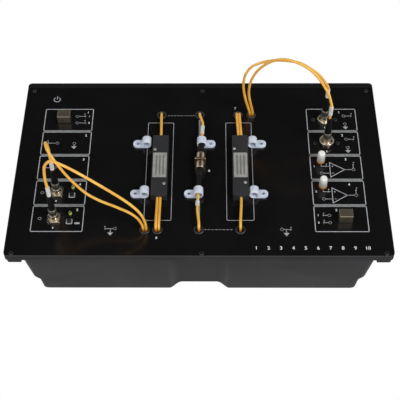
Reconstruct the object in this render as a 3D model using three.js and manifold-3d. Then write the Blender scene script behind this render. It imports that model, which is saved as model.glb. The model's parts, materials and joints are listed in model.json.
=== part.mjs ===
// A bench trainer for fibre optics: a moulded case under a black panel, with two light sources,
// two detectors, a link across the middle and two coupler boxes, all joined by 3 mm fibre.
// Millimetres, +Z up, the case centred on the origin and standing on its feet at z = 0.
import * as THREE from "three";
import { mergeVertices } from "three/addons/utils/BufferGeometryUtils.js";
import Module from "manifold-3d";

const wasm = await Module();
wasm.setup();

// Driving dimensions
const caseWidth = 420;
const caseDepth = 255;
const caseHeight = 88;
const caseCorner = 4.5;
const footDrop = 4.8;
const wall = 3;
const seatGap = 0.3;
const panelThickness = 2;
const rimProud = 0.5;
const fibreRadius = 1.5;
const cutOverrun = 5;
const roundSides = 12;
const smallSides = 10;
const cornerSteps = 3;

// Colours and finishes
const finish = (color, roughness, metalness) =>
  new THREE.MeshStandardMaterial({ color, roughness, metalness });
const caseFinish = () => finish(0x38383a, 0.75, 0);
const panelFinish = () => finish(0x111112, 0.12, 0);
const rubberFinish = () => finish(0x141414, 0.8, 0);
const nickelFinish = () => finish(0xb0a894, 0.3, 1);
const fibreFinish = () => finish(0xf0a838, 0.45, 0);
const nylonFinish = () => finish(0xd5d8e5, 0.5, 0);
const couplerFinish = () => finish(0x27282c, 0.6, 0);
const knobFinish = () => finish(0xe6e6e2, 0.45, 0);
const boardFinish = () => finish(0x1f5a34, 0.55, 0);
const supplyFinish = () => finish(0x9a9c98, 0.45, 0.6);
const blackPlasticFinish = () => finish(0x1a1a1b, 0.5, 0);

// A closed geometry as a solid that can be cut and joined.
function solidOf(geometry) {
  const bare = geometry.index ? geometry.toNonIndexed() : geometry.clone();
  bare.deleteAttribute("normal");
  bare.deleteAttribute("uv");
  const merged = mergeVertices(bare);
  return new wasm.Manifold(
    new wasm.Mesh({
      numProp: 3,
      vertProperties: merged.attributes.position.array,
      triVerts: new Uint32Array(merged.index.array),
    }),
  );
}

// A solid back as a geometry.
function geometryOf(solid) {
  const { numProp, numVert, vertProperties, triVerts } = solid.getMesh();
  const places = new Float32Array(numVert * 3);
  for (let i = 0; i < numVert; i += 1) {
    places.set(vertProperties.subarray(i * numProp, i * numProp + 3), i * 3);
  }
  const geometry = new THREE.BufferGeometry();
  geometry.setAttribute("position", new THREE.BufferAttribute(places, 3));
  geometry.setIndex(new THREE.BufferAttribute(new Uint32Array(triVerts), 1));
  geometry.computeVertexNormals();
  return geometry;
}

function mesh(name, shape, material, place = [0, 0, 0]) {
  const geometry = shape.isBufferGeometry ? shape : geometryOf(shape);
  const made = new THREE.Mesh(geometry, material);
  made.name = name;
  made.position.set(...place);
  return made;
}

// A block with its lowest corner and its highest corner.
function block(low, high) {
  const size = high.map((value, axis) => value - low[axis]);
  const centre = high.map((value, axis) => (value + low[axis]) / 2);
  return solidOf(new THREE.BoxGeometry(...size).translate(...centre));
}

// A round bar along Z between two heights.
function bar(radius, low, high, sides = roundSides, x = 0, y = 0) {
  const geometry = new THREE.CylinderGeometry(radius, radius, high - low, sides);
  geometry.rotateX(Math.PI / 2).translate(x, y, (low + high) / 2);
  return solidOf(geometry);
}

// A closed profile of [radius, height] points turned round the Z axis.
function turned(profile, sides = roundSides) {
  const points = profile.map(([radius, height]) => new THREE.Vector2(radius, height));
  return solidOf(new THREE.LatheGeometry(points, sides).rotateX(Math.PI / 2));
}

function roundedRectangle(width, depth, radius, x = 0, y = 0) {
  const right = x + width / 2 - radius;
  const back = y + depth / 2 - radius;
  const left = x - width / 2 + radius;
  const front = y - depth / 2 + radius;
  const outline = new THREE.Shape();
  outline.absarc(right, back, radius, 0, Math.PI / 2);
  outline.absarc(left, back, radius, Math.PI / 2, Math.PI);
  outline.absarc(left, front, radius, Math.PI, 1.5 * Math.PI);
  outline.absarc(right, front, radius, 1.5 * Math.PI, 2 * Math.PI);
  outline.closePath();
  return outline;
}

// An outline pushed up between two heights.
function pushed(outline, low, high, curveSegments = cornerSteps) {
  const geometry = new THREE.ExtrudeGeometry(outline, {
    depth: high - low,
    bevelEnabled: false,
    curveSegments,
  });
  return solidOf(geometry.translate(0, 0, low));
}

// The skin over a stack of rings with equal counts of points, closed by a fan at each end.
function lofted(rings) {
  const count = rings[0].length;
  const places = rings.flat().flatMap((point) => point.toArray());
  const faces = [];
  for (let level = 0; level < rings.length - 1; level += 1) {
    for (let i = 0; i < count; i += 1) {
      const a = level * count + i;
      const b = level * count + ((i + 1) % count);
      faces.push(a, b, b + count, a, b + count, a + count);
    }
  }
  const top = (rings.length - 1) * count;
  for (let i = 1; i < count - 1; i += 1) {
    faces.push(0, i + 1, i);
    faces.push(top, top + i, top + i + 1);
  }
  const geometry = new THREE.BufferGeometry();
  geometry.setAttribute("position", new THREE.Float32BufferAttribute(places, 3));
  geometry.setIndex(faces);
  return solidOf(geometry);
}

// One ring of a rounded rectangle at a height, counterclockwise from above.
function ring(halfWidth, halfDepth, radius, height) {
  const points = [];
  const corners = [
    [1, 1],
    [-1, 1],
    [-1, -1],
    [1, -1],
  ];
  corners.forEach(([sideX, sideY], quarter) => {
    for (let step = 0; step <= cornerSteps; step += 1) {
      const angle = ((quarter + step / cornerSteps) * Math.PI) / 2;
      points.push(
        new THREE.Vector3(
          sideX * (halfWidth - radius) + radius * Math.cos(angle),
          sideY * (halfDepth - radius) + radius * Math.sin(angle),
          height,
        ),
      );
    }
  });
  return points;
}

// Tub of the case
const rimHeight = 9;
const sideOverhang = 16.6;
const endOverhang = 1.5;
const draftShare = 0.12;
const tubCorner = 8.5;
const tubFootCorner = 4.5;
const tubRound = 4;
const tubRoundSteps = 2;
const sideStep = 7.2;
const sideLean = 2.2;
const sideStepDepth = 44.5;
const sideStepSlope = 6.5;
const lipWidth = 10;
const pocketDepth = 4;
const cornerBlockWidth = 17.5;
const cornerBlockDepth = 18;
const cornerBlockDrop = 6.6;
const cornerBlockInset = 1.9;
const cornerBlockRound = 2.5;
const panelSideMargin = 1.4;
const panelBackMargin = 8;
const panelCorner = 3;
const recessMouth = 73.5;
const recessFloor = 40.5;
const recessDepth = 10.2;
const recessSteps = 6;
const frontBossMouth = 27;
const frontBossFoot = 23;
const frontBossDrop = 4.4;

const rimTop = caseHeight;
const rimBottom = rimTop - rimHeight;
const tubBottom = footDrop;
const panelTop = rimTop - rimProud;
const panelBottom = panelTop - panelThickness;
const panelSeat = panelBottom - seatGap;
const halfWidth = caseWidth / 2;
const halfDepth = caseDepth / 2;

// Half sizes of the tub's outside at a height, without the step in the side walls.
const tubHalfWidth = (height) =>
  halfWidth - sideOverhang - draftShare * (rimBottom - height);
const tubHalfDepth = (height) =>
  halfDepth - endOverhang - draftShare * (rimBottom - height);

// The tub's outside, or its hollow when it is drawn in by the wall.
function tubBody(inset, top) {
  const floor = tubBottom + inset;
  const round = tubRound;
  const stepTop = rimBottom - sideStepDepth;
  const stepFoot = stepTop - sideStepSlope;
  const level = (height, step, extra) => {
    const share = (rimBottom - height) / (rimBottom - tubBottom);
    return ring(
      tubHalfWidth(height) - inset - step - extra,
      tubHalfDepth(height) - inset - extra,
      THREE.MathUtils.lerp(tubCorner, tubFootCorner, share) - inset,
      height,
    );
  };
  const rings = [];
  for (let i = tubRoundSteps; i >= 1; i -= 1) {
    const angle = ((i / tubRoundSteps) * Math.PI) / 2;
    const extra = round * (1 - Math.cos(angle));
    rings.push(level(floor + round * (1 - Math.sin(angle)), sideStep, extra));
  }
  rings.push(level(floor + round, sideStep, 0));
  rings.push(level(stepFoot, sideStep, 0));
  rings.push(level(stepTop, sideLean, 0));
  const topRing = level(rimBottom, 0, 0).map((point) => point.setZ(top));
  rings.push(topRing);
  return lofted(rings);
}

// The finger recess in the front wall, as the tool that cuts it; grown is the wall behind it.
// Each side sweeps from the mouth to the floor as half a wave.
function recessTool(grown) {
  const sweep = (recessMouth - recessFloor) / 2;
  const rings = [tubBottom - cutOverrun, rimBottom].map((height) => {
    const face = -tubHalfDepth(height);
    const mouthX = recessMouth / 2 + grown;
    const points = [new THREE.Vector3(mouthX, face - cutOverrun, height)];
    for (let i = 0; i <= recessSteps; i += 1) {
      const share = i / recessSteps;
      const rise = (1 - Math.cos(Math.PI * share)) / 2;
      const y = face + rise * (recessDepth + grown);
      points.push(new THREE.Vector3(mouthX - share * sweep, y, height));
    }
    const mirrored = points.map(({ x, y, z }) => new THREE.Vector3(-x, y, z));
    return [...points, ...mirrored.reverse()];
  });
  return lofted(rings);
}

// Panel and the places of what stands on it
const panelWidth = caseWidth - 2 * (panelSideMargin + seatGap);
const panelBackEdge = halfDepth - panelBackMargin - seatGap;
const panelFrontEdge = -halfDepth + seatGap;
const panelDepth = panelBackEdge - panelFrontEdge;
const panelMiddleY = (panelBackEdge + panelFrontEdge) / 2;
const screwFrontEdge = 2.5;
const screwBackEdge = 5;
const screwHole = 1.5;
const screwSideEdge = 6.8;
const middleScrewX = 3.1;
const screwRows = [panelFrontEdge + screwFrontEdge, panelBackEdge - screwBackEdge];
const screwSideX = panelWidth / 2 - screwSideEdge;
const screwColumns = [-screwSideX, middleScrewX, screwSideX];

const couplerSpread = 45.4;
const multiplexerShift = 0.5;
const demultiplexerShift = 1.4;
const grommetBackInset = 52.5;
const grommetFrontInset = 33.9;
const sourceGrommetGap = 13.8;
const detectorGrommetGap = 15.6;
const grommetBackY = halfDepth - grommetBackInset;
const grommetFrontY = -halfDepth + grommetFrontInset;
const sourceGrommetX = -couplerSpread - sourceGrommetGap;
const detectorGrommetX = couplerSpread + detectorGrommetGap;
const linkGrommetX = 0;
const couplerMiddleY = (grommetBackY + grommetFrontY) / 2;
const multiplexerX = -couplerSpread + multiplexerShift;
const demultiplexerX = couplerSpread + demultiplexerShift;

// Both columns of printed blocks have five rows at one pitch, the first row at the back.
const blockCount = 5;
const blockBackInset = 60;
const blockFrontInset = 49;
const blockPitch = (caseDepth - blockBackInset - blockFrontInset) / (blockCount - 1);
const blockRow = (row) => halfDepth - blockBackInset - row * blockPitch;
const sourceInset = 50;
const sourceOffset = 0.5;
const sourceX = -halfWidth + sourceInset;
const sourceRows = [3, 4].map((row) => blockRow(row) + sourceOffset);
const detectorInset = 62.3;
const detectorOffset = -0.1;
const detectorX = halfWidth - detectorInset;
const detectorRows = [0, 1].map((row) => blockRow(row) + detectorOffset);
const knobInset = 70.9;
const knobOffset = 8.3;
const knobX = halfWidth - knobInset;
const knobRows = [2, 3].map((row) => blockRow(row) + knobOffset);
const buttonInset = 67.3;
const buttonOffset = 3.6;
const buttonX = -halfWidth + buttonInset;
const buttonRows = [3, 4].map((row) => blockRow(row) - buttonOffset);
const lampInset = 67.6;
const lampOffset = 7.2;
const lampX = -halfWidth + lampInset;
const lampRows = [3, 4].map((row) => blockRow(row) + lampOffset);
const socketInset = 49.2;
const socketPlaces = [
  { name: "usb_socket_left", x: -halfWidth + socketInset, y: blockRow(0), turn: Math.PI },
  { name: "usb_socket_right", x: halfWidth - socketInset, y: blockRow(4), turn: 0 },
];
const linkOffset = 7.3;
const linkX = 1.1;
const linkY = couplerMiddleY + linkOffset;
const linkTurn = -THREE.MathUtils.degToRad(2.6);
const clipHoleSpread = 71.6;
const clipBackOffset = 37.7;
const clipFrontOffset = 35.7;
const clipRows = [couplerMiddleY + clipBackOffset, couplerMiddleY - clipFrontOffset];

const grommetPlaces = [
  ["grommet_multiplexer_back", -couplerSpread, grommetBackY],
  ["grommet_link_back", linkGrommetX, grommetBackY],
  ["grommet_demultiplexer_back", couplerSpread, grommetBackY],
  ["grommet_detectors", detectorGrommetX, grommetBackY],
  ["grommet_sources", sourceGrommetX, grommetFrontY],
  ["grommet_multiplexer_front", -couplerSpread, grommetFrontY],
  ["grommet_link_front", linkGrommetX, grommetFrontY],
  ["grommet_demultiplexer_front", couplerSpread, grommetFrontY],
];

// Mains inlet with its rocker, in the rear wall
const inletWidth = 58;
const inletSideInset = 35;
const inletX = -halfWidth + inletSideInset + inletWidth / 2;
const inletZ = 46;
const inletHeight = 28;
const inletFlange = 2.5;
const inletFlangeMargin = 3;
const inletBodyDepth = 24;
const inletPadGap = 1;
const inletPadThickness = 5;
const inletFaceInset = 9;
const mouthWidth = 25;
const mouthHeight = 17;
const mouthDepth = 17;
const mouthInset = 18;
const mouthOffset = -inletWidth / 2 + mouthInset;
const bladeWidth = 2;
const bladeHeight = 5;
const bladeLength = 11;
const bladeSpread = 7;
const rockerWidth = 12.4;
const rockerHeight = 19;
const rockerInset = 11.5;
const rockerOffset = inletWidth / 2 - rockerInset;
const rockerDepth = 7;
const rockerProud = 1.4;
const rockerTaper = 1.2;
const rockerClearance = 0.5;
const rockerWellDepth = 12;
const rockerSwing = THREE.MathUtils.degToRad(8);
const inletFaceY = halfDepth - inletFaceInset;

function caseTub() {
  const flangeOutline = roundedRectangle(caseWidth, caseDepth, caseCorner);
  let tub = tubBody(0, rimBottom + wall).add(pushed(flangeOutline, rimBottom, rimTop));
  for (const sideX of [-1, 1]) {
    for (const sideY of [-1, 1]) {
      const outer = roundedRectangle(
        caseWidth - 2 * cornerBlockInset,
        caseDepth - 2 * cornerBlockInset,
        cornerBlockRound,
      );
      const column = pushed(outer, rimBottom - cornerBlockDrop, rimBottom + wall);
      const innerX = sideX * (halfWidth - cornerBlockWidth);
      const innerY = sideY * (halfDepth - cornerBlockDepth);
      const low = [Math.min(innerX, sideX * caseWidth), Math.min(innerY, sideY * caseDepth)];
      const high = [Math.max(innerX, sideX * caseWidth), Math.max(innerY, sideY * caseDepth)];
      const corner = block([...low, 0], [...high, rimTop]);
      tub = tub.add(column.intersect(corner));
    }
  }
  tub = tub.subtract(recessTool(0));
  const pocketFront = halfDepth - cornerBlockDepth;
  for (const side of [-1, 1]) {
    const edges = [side * (halfWidth - wall), side * (halfWidth - sideOverhang + seatGap)];
    tub = tub.subtract(
      block(
        [Math.min(...edges), -pocketFront, rimBottom - cutOverrun],
        [Math.max(...edges), pocketFront, rimBottom + pocketDepth],
      ),
    );
  }
  const openingOutline = roundedRectangle(
    2 * tubHalfWidth(rimBottom) - 2 * lipWidth,
    panelDepth - 2 * lipWidth,
    tubCorner,
    0,
    panelMiddleY,
  );
  const hollow = tubBody(wall, rimBottom).subtract(recessTool(wall));
  tub = tub.subtract(hollow);
  tub = tub.subtract(pushed(openingOutline, rimBottom - wall, rimTop + cutOverrun));
  tub = tub.add(frontBoss());
  const seatOutline = roundedRectangle(
    panelWidth + 2 * seatGap,
    panelDepth + cutOverrun,
    panelCorner,
    0,
    panelMiddleY + seatGap - cutOverrun / 2,
  );
  tub = tub.subtract(pushed(seatOutline, panelSeat, rimTop + cutOverrun));
  const pilotDepth = rimHeight / 2;
  for (const x of screwColumns) {
    for (const y of screwRows) {
      tub = tub.subtract(bar(screwHole, panelSeat - pilotDepth, rimTop, smallSides, x, y));
    }
  }
  return inletPad(tub);
}

// The boss under the flange for the middle screw of the front edge.
function frontBoss() {
  const front = -halfDepth + endOverhang;
  const back = -tubHalfDepth(rimBottom) + recessDepth + wall / 2;
  const outline = new THREE.Shape();
  outline.moveTo(-frontBossMouth / 2, 0);
  outline.lineTo(-frontBossFoot / 2, -frontBossDrop);
  outline.lineTo(frontBossFoot / 2, -frontBossDrop);
  outline.lineTo(frontBossMouth / 2, 0);
  outline.lineTo(frontBossMouth / 2, wall / 2);
  outline.lineTo(-frontBossMouth / 2, wall / 2);
  outline.closePath();
  const geometry = new THREE.ExtrudeGeometry(outline, {
    depth: back - front,
    bevelEnabled: false,
  });
  return solidOf(geometry.rotateX(Math.PI / 2).translate(middleScrewX, back, rimBottom));
}

// A flat upright seat in the leaning rear wall, and the hole for the inlet's body.
function inletPad(tub) {
  const seatHalfWidth = inletWidth / 2 + inletPadGap;
  const seatHalfHeight = inletHeight / 2 + inletPadGap;
  const bodyHalfWidth = inletWidth / 2 - inletFlangeMargin + seatGap;
  const bodyHalfHeight = inletHeight / 2 - inletFlangeMargin + seatGap;
  const padBack = inletFaceY - inletFlange;
  const padFront = padBack - inletPadThickness;
  const pad = block(
    [inletX - seatHalfWidth - wall, padFront, inletZ - seatHalfHeight - wall],
    [inletX + seatHalfWidth + wall, padBack + wall, inletZ + seatHalfHeight + wall],
  );
  const seat = block(
    [inletX - seatHalfWidth, padBack, inletZ - seatHalfHeight],
    [inletX + seatHalfWidth, halfDepth, inletZ + seatHalfHeight],
  );
  const hole = block(
    [inletX - bodyHalfWidth, padFront - cutOverrun, inletZ - bodyHalfHeight],
    [inletX + bodyHalfWidth, halfDepth, inletZ + bodyHalfHeight],
  );
  const within = tubBody(wall / 2, rimBottom);
  return tub.add(pad.intersect(within)).subtract(seat).subtract(hole);
}

function mainsInlet() {
  const flangeBack = inletFaceY;
  const flangeFront = inletFaceY - inletFlange + seatGap;
  const bodyHalfWidth = inletWidth / 2 - inletFlangeMargin;
  const bodyHalfHeight = inletHeight / 2 - inletFlangeMargin;
  let inlet = block(
    [-inletWidth / 2, flangeFront, -inletHeight / 2],
    [inletWidth / 2, flangeBack, inletHeight / 2],
  );
  inlet = inlet.add(
    block(
      [-bodyHalfWidth, flangeBack - inletBodyDepth, -bodyHalfHeight],
      [bodyHalfWidth, flangeBack - inletFlange / 2, bodyHalfHeight],
    ),
  );
  inlet = inlet.subtract(
    block(
      [mouthOffset - mouthWidth / 2, flangeBack - mouthDepth, -mouthHeight / 2],
      [mouthOffset + mouthWidth / 2, flangeBack + cutOverrun, mouthHeight / 2],
    ),
  );
  for (const step of [-1, 0, 1]) {
    const bladeX = mouthOffset + step * bladeSpread;
    const bladeZ = step === 0 ? bladeHeight / 2 : -bladeHeight / 2;
    inlet = inlet.add(
      block(
        [bladeX - bladeWidth / 2, flangeBack - mouthDepth - bladeWidth / 2, bladeZ - bladeHeight / 2],
        [bladeX + bladeWidth / 2, flangeBack - mouthDepth + bladeLength, bladeZ + bladeHeight / 2],
      ),
    );
  }
  const wellHalfWidth = rockerWidth / 2 + rockerClearance;
  const wellHalfHeight = rockerHeight / 2 + rockerClearance;
  return inlet.subtract(
    block(
      [rockerOffset - wellHalfWidth, flangeBack - rockerWellDepth, -wellHalfHeight],
      [rockerOffset + wellHalfWidth, flangeBack + cutOverrun, wellHalfHeight],
    ),
  );
}

// The rocker seen from the side: two flats that meet at a shallow valley, over a drawn-in root.
function mainsRocker() {
  const half = rockerHeight / 2;
  const lift = half * Math.tan(rockerSwing);
  const outline = new THREE.Shape();
  outline.moveTo(-half + rockerTaper, -rockerDepth);
  outline.lineTo(half - rockerTaper, -rockerDepth);
  outline.lineTo(half, rockerProud + lift);
  outline.lineTo(0, rockerProud);
  outline.lineTo(-half, rockerProud + lift);
  outline.closePath();
  const geometry = new THREE.ExtrudeGeometry(outline, {
    depth: rockerWidth,
    bevelEnabled: false,
  });
  geometry.translate(0, 0, -rockerWidth / 2);
  return solidOf(geometry.rotateY(Math.PI / 2));
}

// Front panel with its holes and the pillars that carry the main board
const receptacleHole = 4.8;
const grommetNeck = 4.6;
const grommetHole = grommetNeck + seatGap;
const shaftRadius = 1.5;
const shaftHole = shaftRadius + 2 * seatGap;
const capWidth = 4.8;
const capCorner = 0.8;
const capHole = capWidth + 4 * seatGap;
const lampRadius = 1.75;
const lampHole = lampRadius + seatGap;
const pillarRadius = 3.2;
const pillarHeight = 10;
const boardSideInset = 33;
const boardBackInset = 27.5;
const boardFrontInset = 21.5;
const windowSideGap = 36.6;
const windowBackGap = 17;
const windowFrontGap = 23.6;
const boardHalfWidth = halfWidth - boardSideInset;
const boardBackY = halfDepth - boardBackInset;
const boardFrontY = -halfDepth + boardFrontInset;
const boardWindowHalfWidth = couplerSpread + windowSideGap;
const boardWindowBackY = grommetBackY - windowBackGap;
const boardWindowFrontY = grommetFrontY + windowFrontGap;
const pillarEdge = 12;
const pillarColumns = [-boardHalfWidth + pillarEdge, boardHalfWidth - pillarEdge];
const pillarRows = [0.5, 3.5].map(blockRow);

function frontPanel() {
  const outline = roundedRectangle(panelWidth, panelDepth, panelCorner, 0, panelMiddleY);
  const roundHole = (x, y, radius) => {
    const hole = new THREE.Path();
    hole.absarc(x, y, radius, 0, 2 * Math.PI);
    outline.holes.push(hole);
  };
  grommetPlaces.forEach(([, x, y]) => roundHole(x, y, grommetHole));
  sourceRows.forEach((y) => roundHole(sourceX, y, receptacleHole));
  detectorRows.forEach((y) => roundHole(detectorX, y, receptacleHole));
  knobRows.forEach((y) => roundHole(knobX, y, shaftHole));
  lampRows.forEach((y) => roundHole(lampX, y, lampHole));
  screwColumns.forEach((x) => screwRows.forEach((y) => roundHole(x, y, screwHole)));
  for (const y of buttonRows) {
    outline.holes.push(roundedRectangle(capHole, capHole, capCorner, buttonX, y));
  }
  const low = panelBottom - panelTop;
  let panel = pushed(outline, low, 0, smallSides / 2);
  for (const x of pillarColumns) {
    for (const y of pillarRows) {
      const top = low + panelThickness / 2;
      panel = panel.add(bar(pillarRadius, low - pillarHeight, top, smallSides, x, y));
    }
  }
  return panel;
}

// Main board with the trimmers, lamps, switches and chips soldered to it
const boardThickness = 1.6;
const trimmerWidth = 9.5;
const trimmerHeight = 6;
const trimmerFloor = 1.5;
const switchWidth = 9;
const switchHeight = 7;
const switchFloor = 1;
const buttonTravel = 1.2;
const lampProud = 2.8;
const squareChip = { width: 14, depth: 14, height: 2.2 };
const largeChip = { width: 20, depth: 20, height: 2.6 };
const smallChip = { width: 10, depth: 6, height: 2 };
const longChip = { width: 26, depth: 9, height: 8 };
const chips = [
  { share: [-0.34, 0.12], chip: squareChip },
  { share: [0.34, 0.12], chip: squareChip },
  { share: [0, 0.05], chip: largeChip },
  { share: [0.62, -0.2], chip: smallChip },
  { share: [-0.62, 0.2], chip: longChip },
];
const boardTop = -panelThickness - pillarHeight - seatGap;

function mainBoard() {
  const outline = new THREE.Shape();
  const corners = [
    [-boardHalfWidth, boardFrontY],
    [-boardWindowHalfWidth, boardFrontY],
    [-boardWindowHalfWidth, boardWindowFrontY],
    [boardWindowHalfWidth, boardWindowFrontY],
    [boardWindowHalfWidth, boardFrontY],
    [boardHalfWidth, boardFrontY],
    [boardHalfWidth, boardBackY],
    [boardWindowHalfWidth, boardBackY],
    [boardWindowHalfWidth, boardWindowBackY],
    [-boardWindowHalfWidth, boardWindowBackY],
    [-boardWindowHalfWidth, boardBackY],
    [-boardHalfWidth, boardBackY],
  ];
  outline.setFromPoints(corners.map(([x, y]) => new THREE.Vector2(x, y)));
  let board = pushed(outline, boardTop - boardThickness, boardTop);
  const root = boardTop - boardThickness / 2;
  for (const y of knobRows) {
    const half = trimmerWidth / 2;
    const body = block(
      [knobX - half, y - half, root],
      [knobX + half, y + half, boardTop + trimmerHeight],
    );
    const bore = bar(shaftHole, boardTop + trimmerFloor, 0, smallSides, knobX, y);
    board = board.add(body).subtract(bore);
  }
  for (const y of buttonRows) {
    const half = switchWidth / 2;
    const well = capHole / 2;
    const body = block(
      [buttonX - half, y - half, root],
      [buttonX + half, y + half, boardTop + switchHeight],
    );
    const hollow = block(
      [buttonX - well, y - well, boardTop + switchFloor],
      [buttonX + well, y + well, boardTop + switchHeight + cutOverrun],
    );
    board = board.add(body).subtract(hollow);
  }
  for (const y of lampRows) {
    const dome = solidOf(
      new THREE.SphereGeometry(lampRadius, smallSides, smallSides / 2).rotateX(Math.PI / 2),
    ).translate([lampX, y, lampProud]);
    board = board.add(bar(lampRadius, root, lampProud, smallSides, lampX, y)).add(dome);
  }
  for (const { share, chip } of chips) {
    const x = share[0] * boardHalfWidth;
    const y = share[1] * boardBackY;
    const { width, depth, height } = chip;
    board = board.add(
      block(
        [x - width / 2, y - depth / 2, root],
        [x + width / 2, y + depth / 2, boardTop + height],
      ),
    );
  }
  return board;
}

// Power supply module on the floor of the tub
const supplyWidth = 96;
const supplyDepth = 58;
const supplySideInset = 52;
const supplyBackInset = 36.5;
const supplyX = -halfWidth + supplySideInset + supplyWidth / 2;
const supplyY = halfDepth - supplyBackInset - supplyDepth / 2;
const supplyPlate = 2;
const supplyRim = 8;
const transformerSize = [24, 22, 21];
const transformerShares = [0.08, 0.2];
const capacitorRadius = 9;
const capacitorHeight = 24;
const capacitorShares = [-0.62, -0.28];
const fuseRadius = 3;
const fuseLength = 22;
const fuseShares = [0.66, -0.12];

function powerSupply() {
  const halfX = supplyWidth / 2;
  const halfY = supplyDepth / 2;
  const tray = block([-halfX, -halfY, 0], [halfX, halfY, supplyRim]).subtract(
    block(
      [-halfX + supplyPlate, -halfY + supplyPlate, supplyPlate],
      [halfX - supplyPlate, halfY - supplyPlate, supplyRim + cutOverrun],
    ),
  );
  const placeAt = ([shareX, shareY]) => [shareX * halfX, shareY * halfY];
  const [transformerX, transformerY] = placeAt(transformerShares);
  const [coreWidth, coreDepth, coreHeight] = transformerSize;
  const [capacitorX, capacitorY] = placeAt(capacitorShares);
  const [fuseX, fuseY] = placeAt(fuseShares);
  const root = supplyPlate / 2;
  const core = block(
    [transformerX - coreWidth / 2, transformerY - coreDepth / 2, root],
    [transformerX + coreWidth / 2, transformerY + coreDepth / 2, coreHeight],
  );
  const capacitor = bar(
    capacitorRadius, root, capacitorHeight, roundSides, capacitorX, capacitorY,
  );
  const fuse = block(
    [fuseX - fuseRadius, fuseY - fuseLength / 2, root],
    [fuseX + fuseRadius, fuseY + fuseLength / 2, supplyPlate + 2 * fuseRadius],
  );
  return tray.add(core).add(capacitor).add(fuse);
}

// Rubber foot
const footRadius = 9;
const footChamfer = 1;
const footInsetX = 24;
const footInsetY = 22;
const footHeight = footDrop - seatGap;

const footProfile = [
  [0, 0],
  [footRadius - footChamfer, 0],
  [footRadius, footChamfer],
  [footRadius, footHeight],
  [0, footHeight],
];

// Grommet, pressed into the panel, with room for two fibres
const grommetFlange = 5.7;
const grommetBore = 2 * (fibreRadius + seatGap);
const grommetLip = 1.4;
const grommetRound = 0.5;

const grommetProfile = [
  [grommetBore, -panelThickness - grommetLip],
  [grommetFlange, -panelThickness - grommetLip],
  [grommetFlange, -panelThickness - seatGap],
  [grommetNeck, -panelThickness - seatGap],
  [grommetNeck, seatGap],
  [grommetFlange, seatGap],
  [grommetFlange, grommetLip - grommetRound],
  [grommetFlange - grommetRound, grommetLip],
  [grommetBore, grommetLip],
  [grommetBore, -panelThickness - grommetLip],
];

// Receptacles: a threaded barrel on a stem and a flange, with the optical module behind it
const barrelRadius = 3.3;
const barrelBore = 2.4;
const boreFloor = 8.4;
const barrelTop = 14.8;
const stemRadius = 4.9;
const stemTop = 9;
const moduleRadius = 4.3;
const moduleDepth = 9;
const squareFlangeWidth = 14;
const squareFlangeCorner = 2;
const flangeThickness = 1.8;
const roundFlangeRadius = 8.4;
const roundFlangeHeight = 3.2;
const dishRadius = 6.9;
const dishDepth = 1.2;
const dishRim = 0.7;
const raisedDishLift = 3.6;
const raisedStemLift = 1.2;
const raisedFootRadius = 6.4;

function sourceReceptacle() {
  const outline = roundedRectangle(squareFlangeWidth, squareFlangeWidth, squareFlangeCorner);
  const barrel = bar(barrelRadius, stemTop / 2, barrelTop);
  const stem = bar(stemRadius, flangeThickness / 2, stemTop);
  const back = bar(moduleRadius, -panelThickness - moduleDepth, flangeThickness / 2);
  const bore = bar(barrelBore, boreFloor, barrelTop + cutOverrun, smallSides);
  const flange = pushed(outline, seatGap, flangeThickness);
  return flange.add(stem).add(barrel).add(back).subtract(bore);
}

// The dish can be raised over a narrower foot, and the stem with its barrel by a lift of its own.
function detectorReceptacle(dishLift, stemLift) {
  const dishTop = roundFlangeHeight + dishLift;
  const profile = [
    [0, -panelThickness - moduleDepth],
    [moduleRadius, -panelThickness - moduleDepth],
    [moduleRadius, seatGap],
  ];
  if (dishLift > 0) {
    profile.push([raisedFootRadius, seatGap]);
    profile.push([raisedFootRadius, dishLift]);
  } else {
    profile.push([roundFlangeRadius, seatGap]);
  }
  profile.push(
    [roundFlangeRadius, dishTop - dishRim],
    [roundFlangeRadius - dishRim, dishTop],
    [dishRadius, dishTop],
    [dishRadius - dishRim, dishTop - dishDepth],
    [stemRadius, dishTop - dishDepth],
    [stemRadius, stemTop + stemLift],
    [barrelRadius, stemTop + stemLift],
    [barrelRadius, barrelTop + stemLift],
    [barrelBore, barrelTop + stemLift],
    [barrelBore, boreFloor + stemLift],
    [0, boreFloor + stemLift],
  );
  return turned(profile);
}

// Plug: ferrule, body, boot and marker sleeve in line, and the coupling nut round its body
const ferruleRadius = 1.25;
const plugNose = 2.5;
const shoulderRadius = 3.3;
const shoulderThickness = 1.1;
const neckRadius = 2.8;
const panelNutOuter = 4.5;
const linkNutOuter = 5.1;
const nutGroove = 0.2;
const nutFlutes = 12;
const nutBottom = stemTop + seatGap;
const nutTop = 18.4;
const nutTopWall = 1.6;
const panelBoot = { base: 4, tip: 2.6 };
const linkBoot = { base: 3.7, tip: 2.7 };
const rimRound = 0.5;
const sleeveRadius = 2.3;
const collarLow = nutTop + seatGap;
const sourcePlug = { ...panelBoot, collar: 0, rim: 0, boot: 22.4, gap: 0, sleeve: 14.2 };
const closePlug = { ...panelBoot, collar: 0, rim: 0, boot: 21, gap: 0, sleeve: 12.6 };
const spacedPlug = { ...panelBoot, collar: 0, rim: 0, boot: 24, gap: 5.5, sleeve: 13 };
const linkBackPlug = { ...linkBoot, collar: 5, rim: 4.4, boot: 18, gap: 7.2, sleeve: 12 };
const linkFrontPlug = { ...linkBoot, collar: 9, rim: 5.2, boot: 20, gap: 16.3, sleeve: 6.3 };

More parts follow.
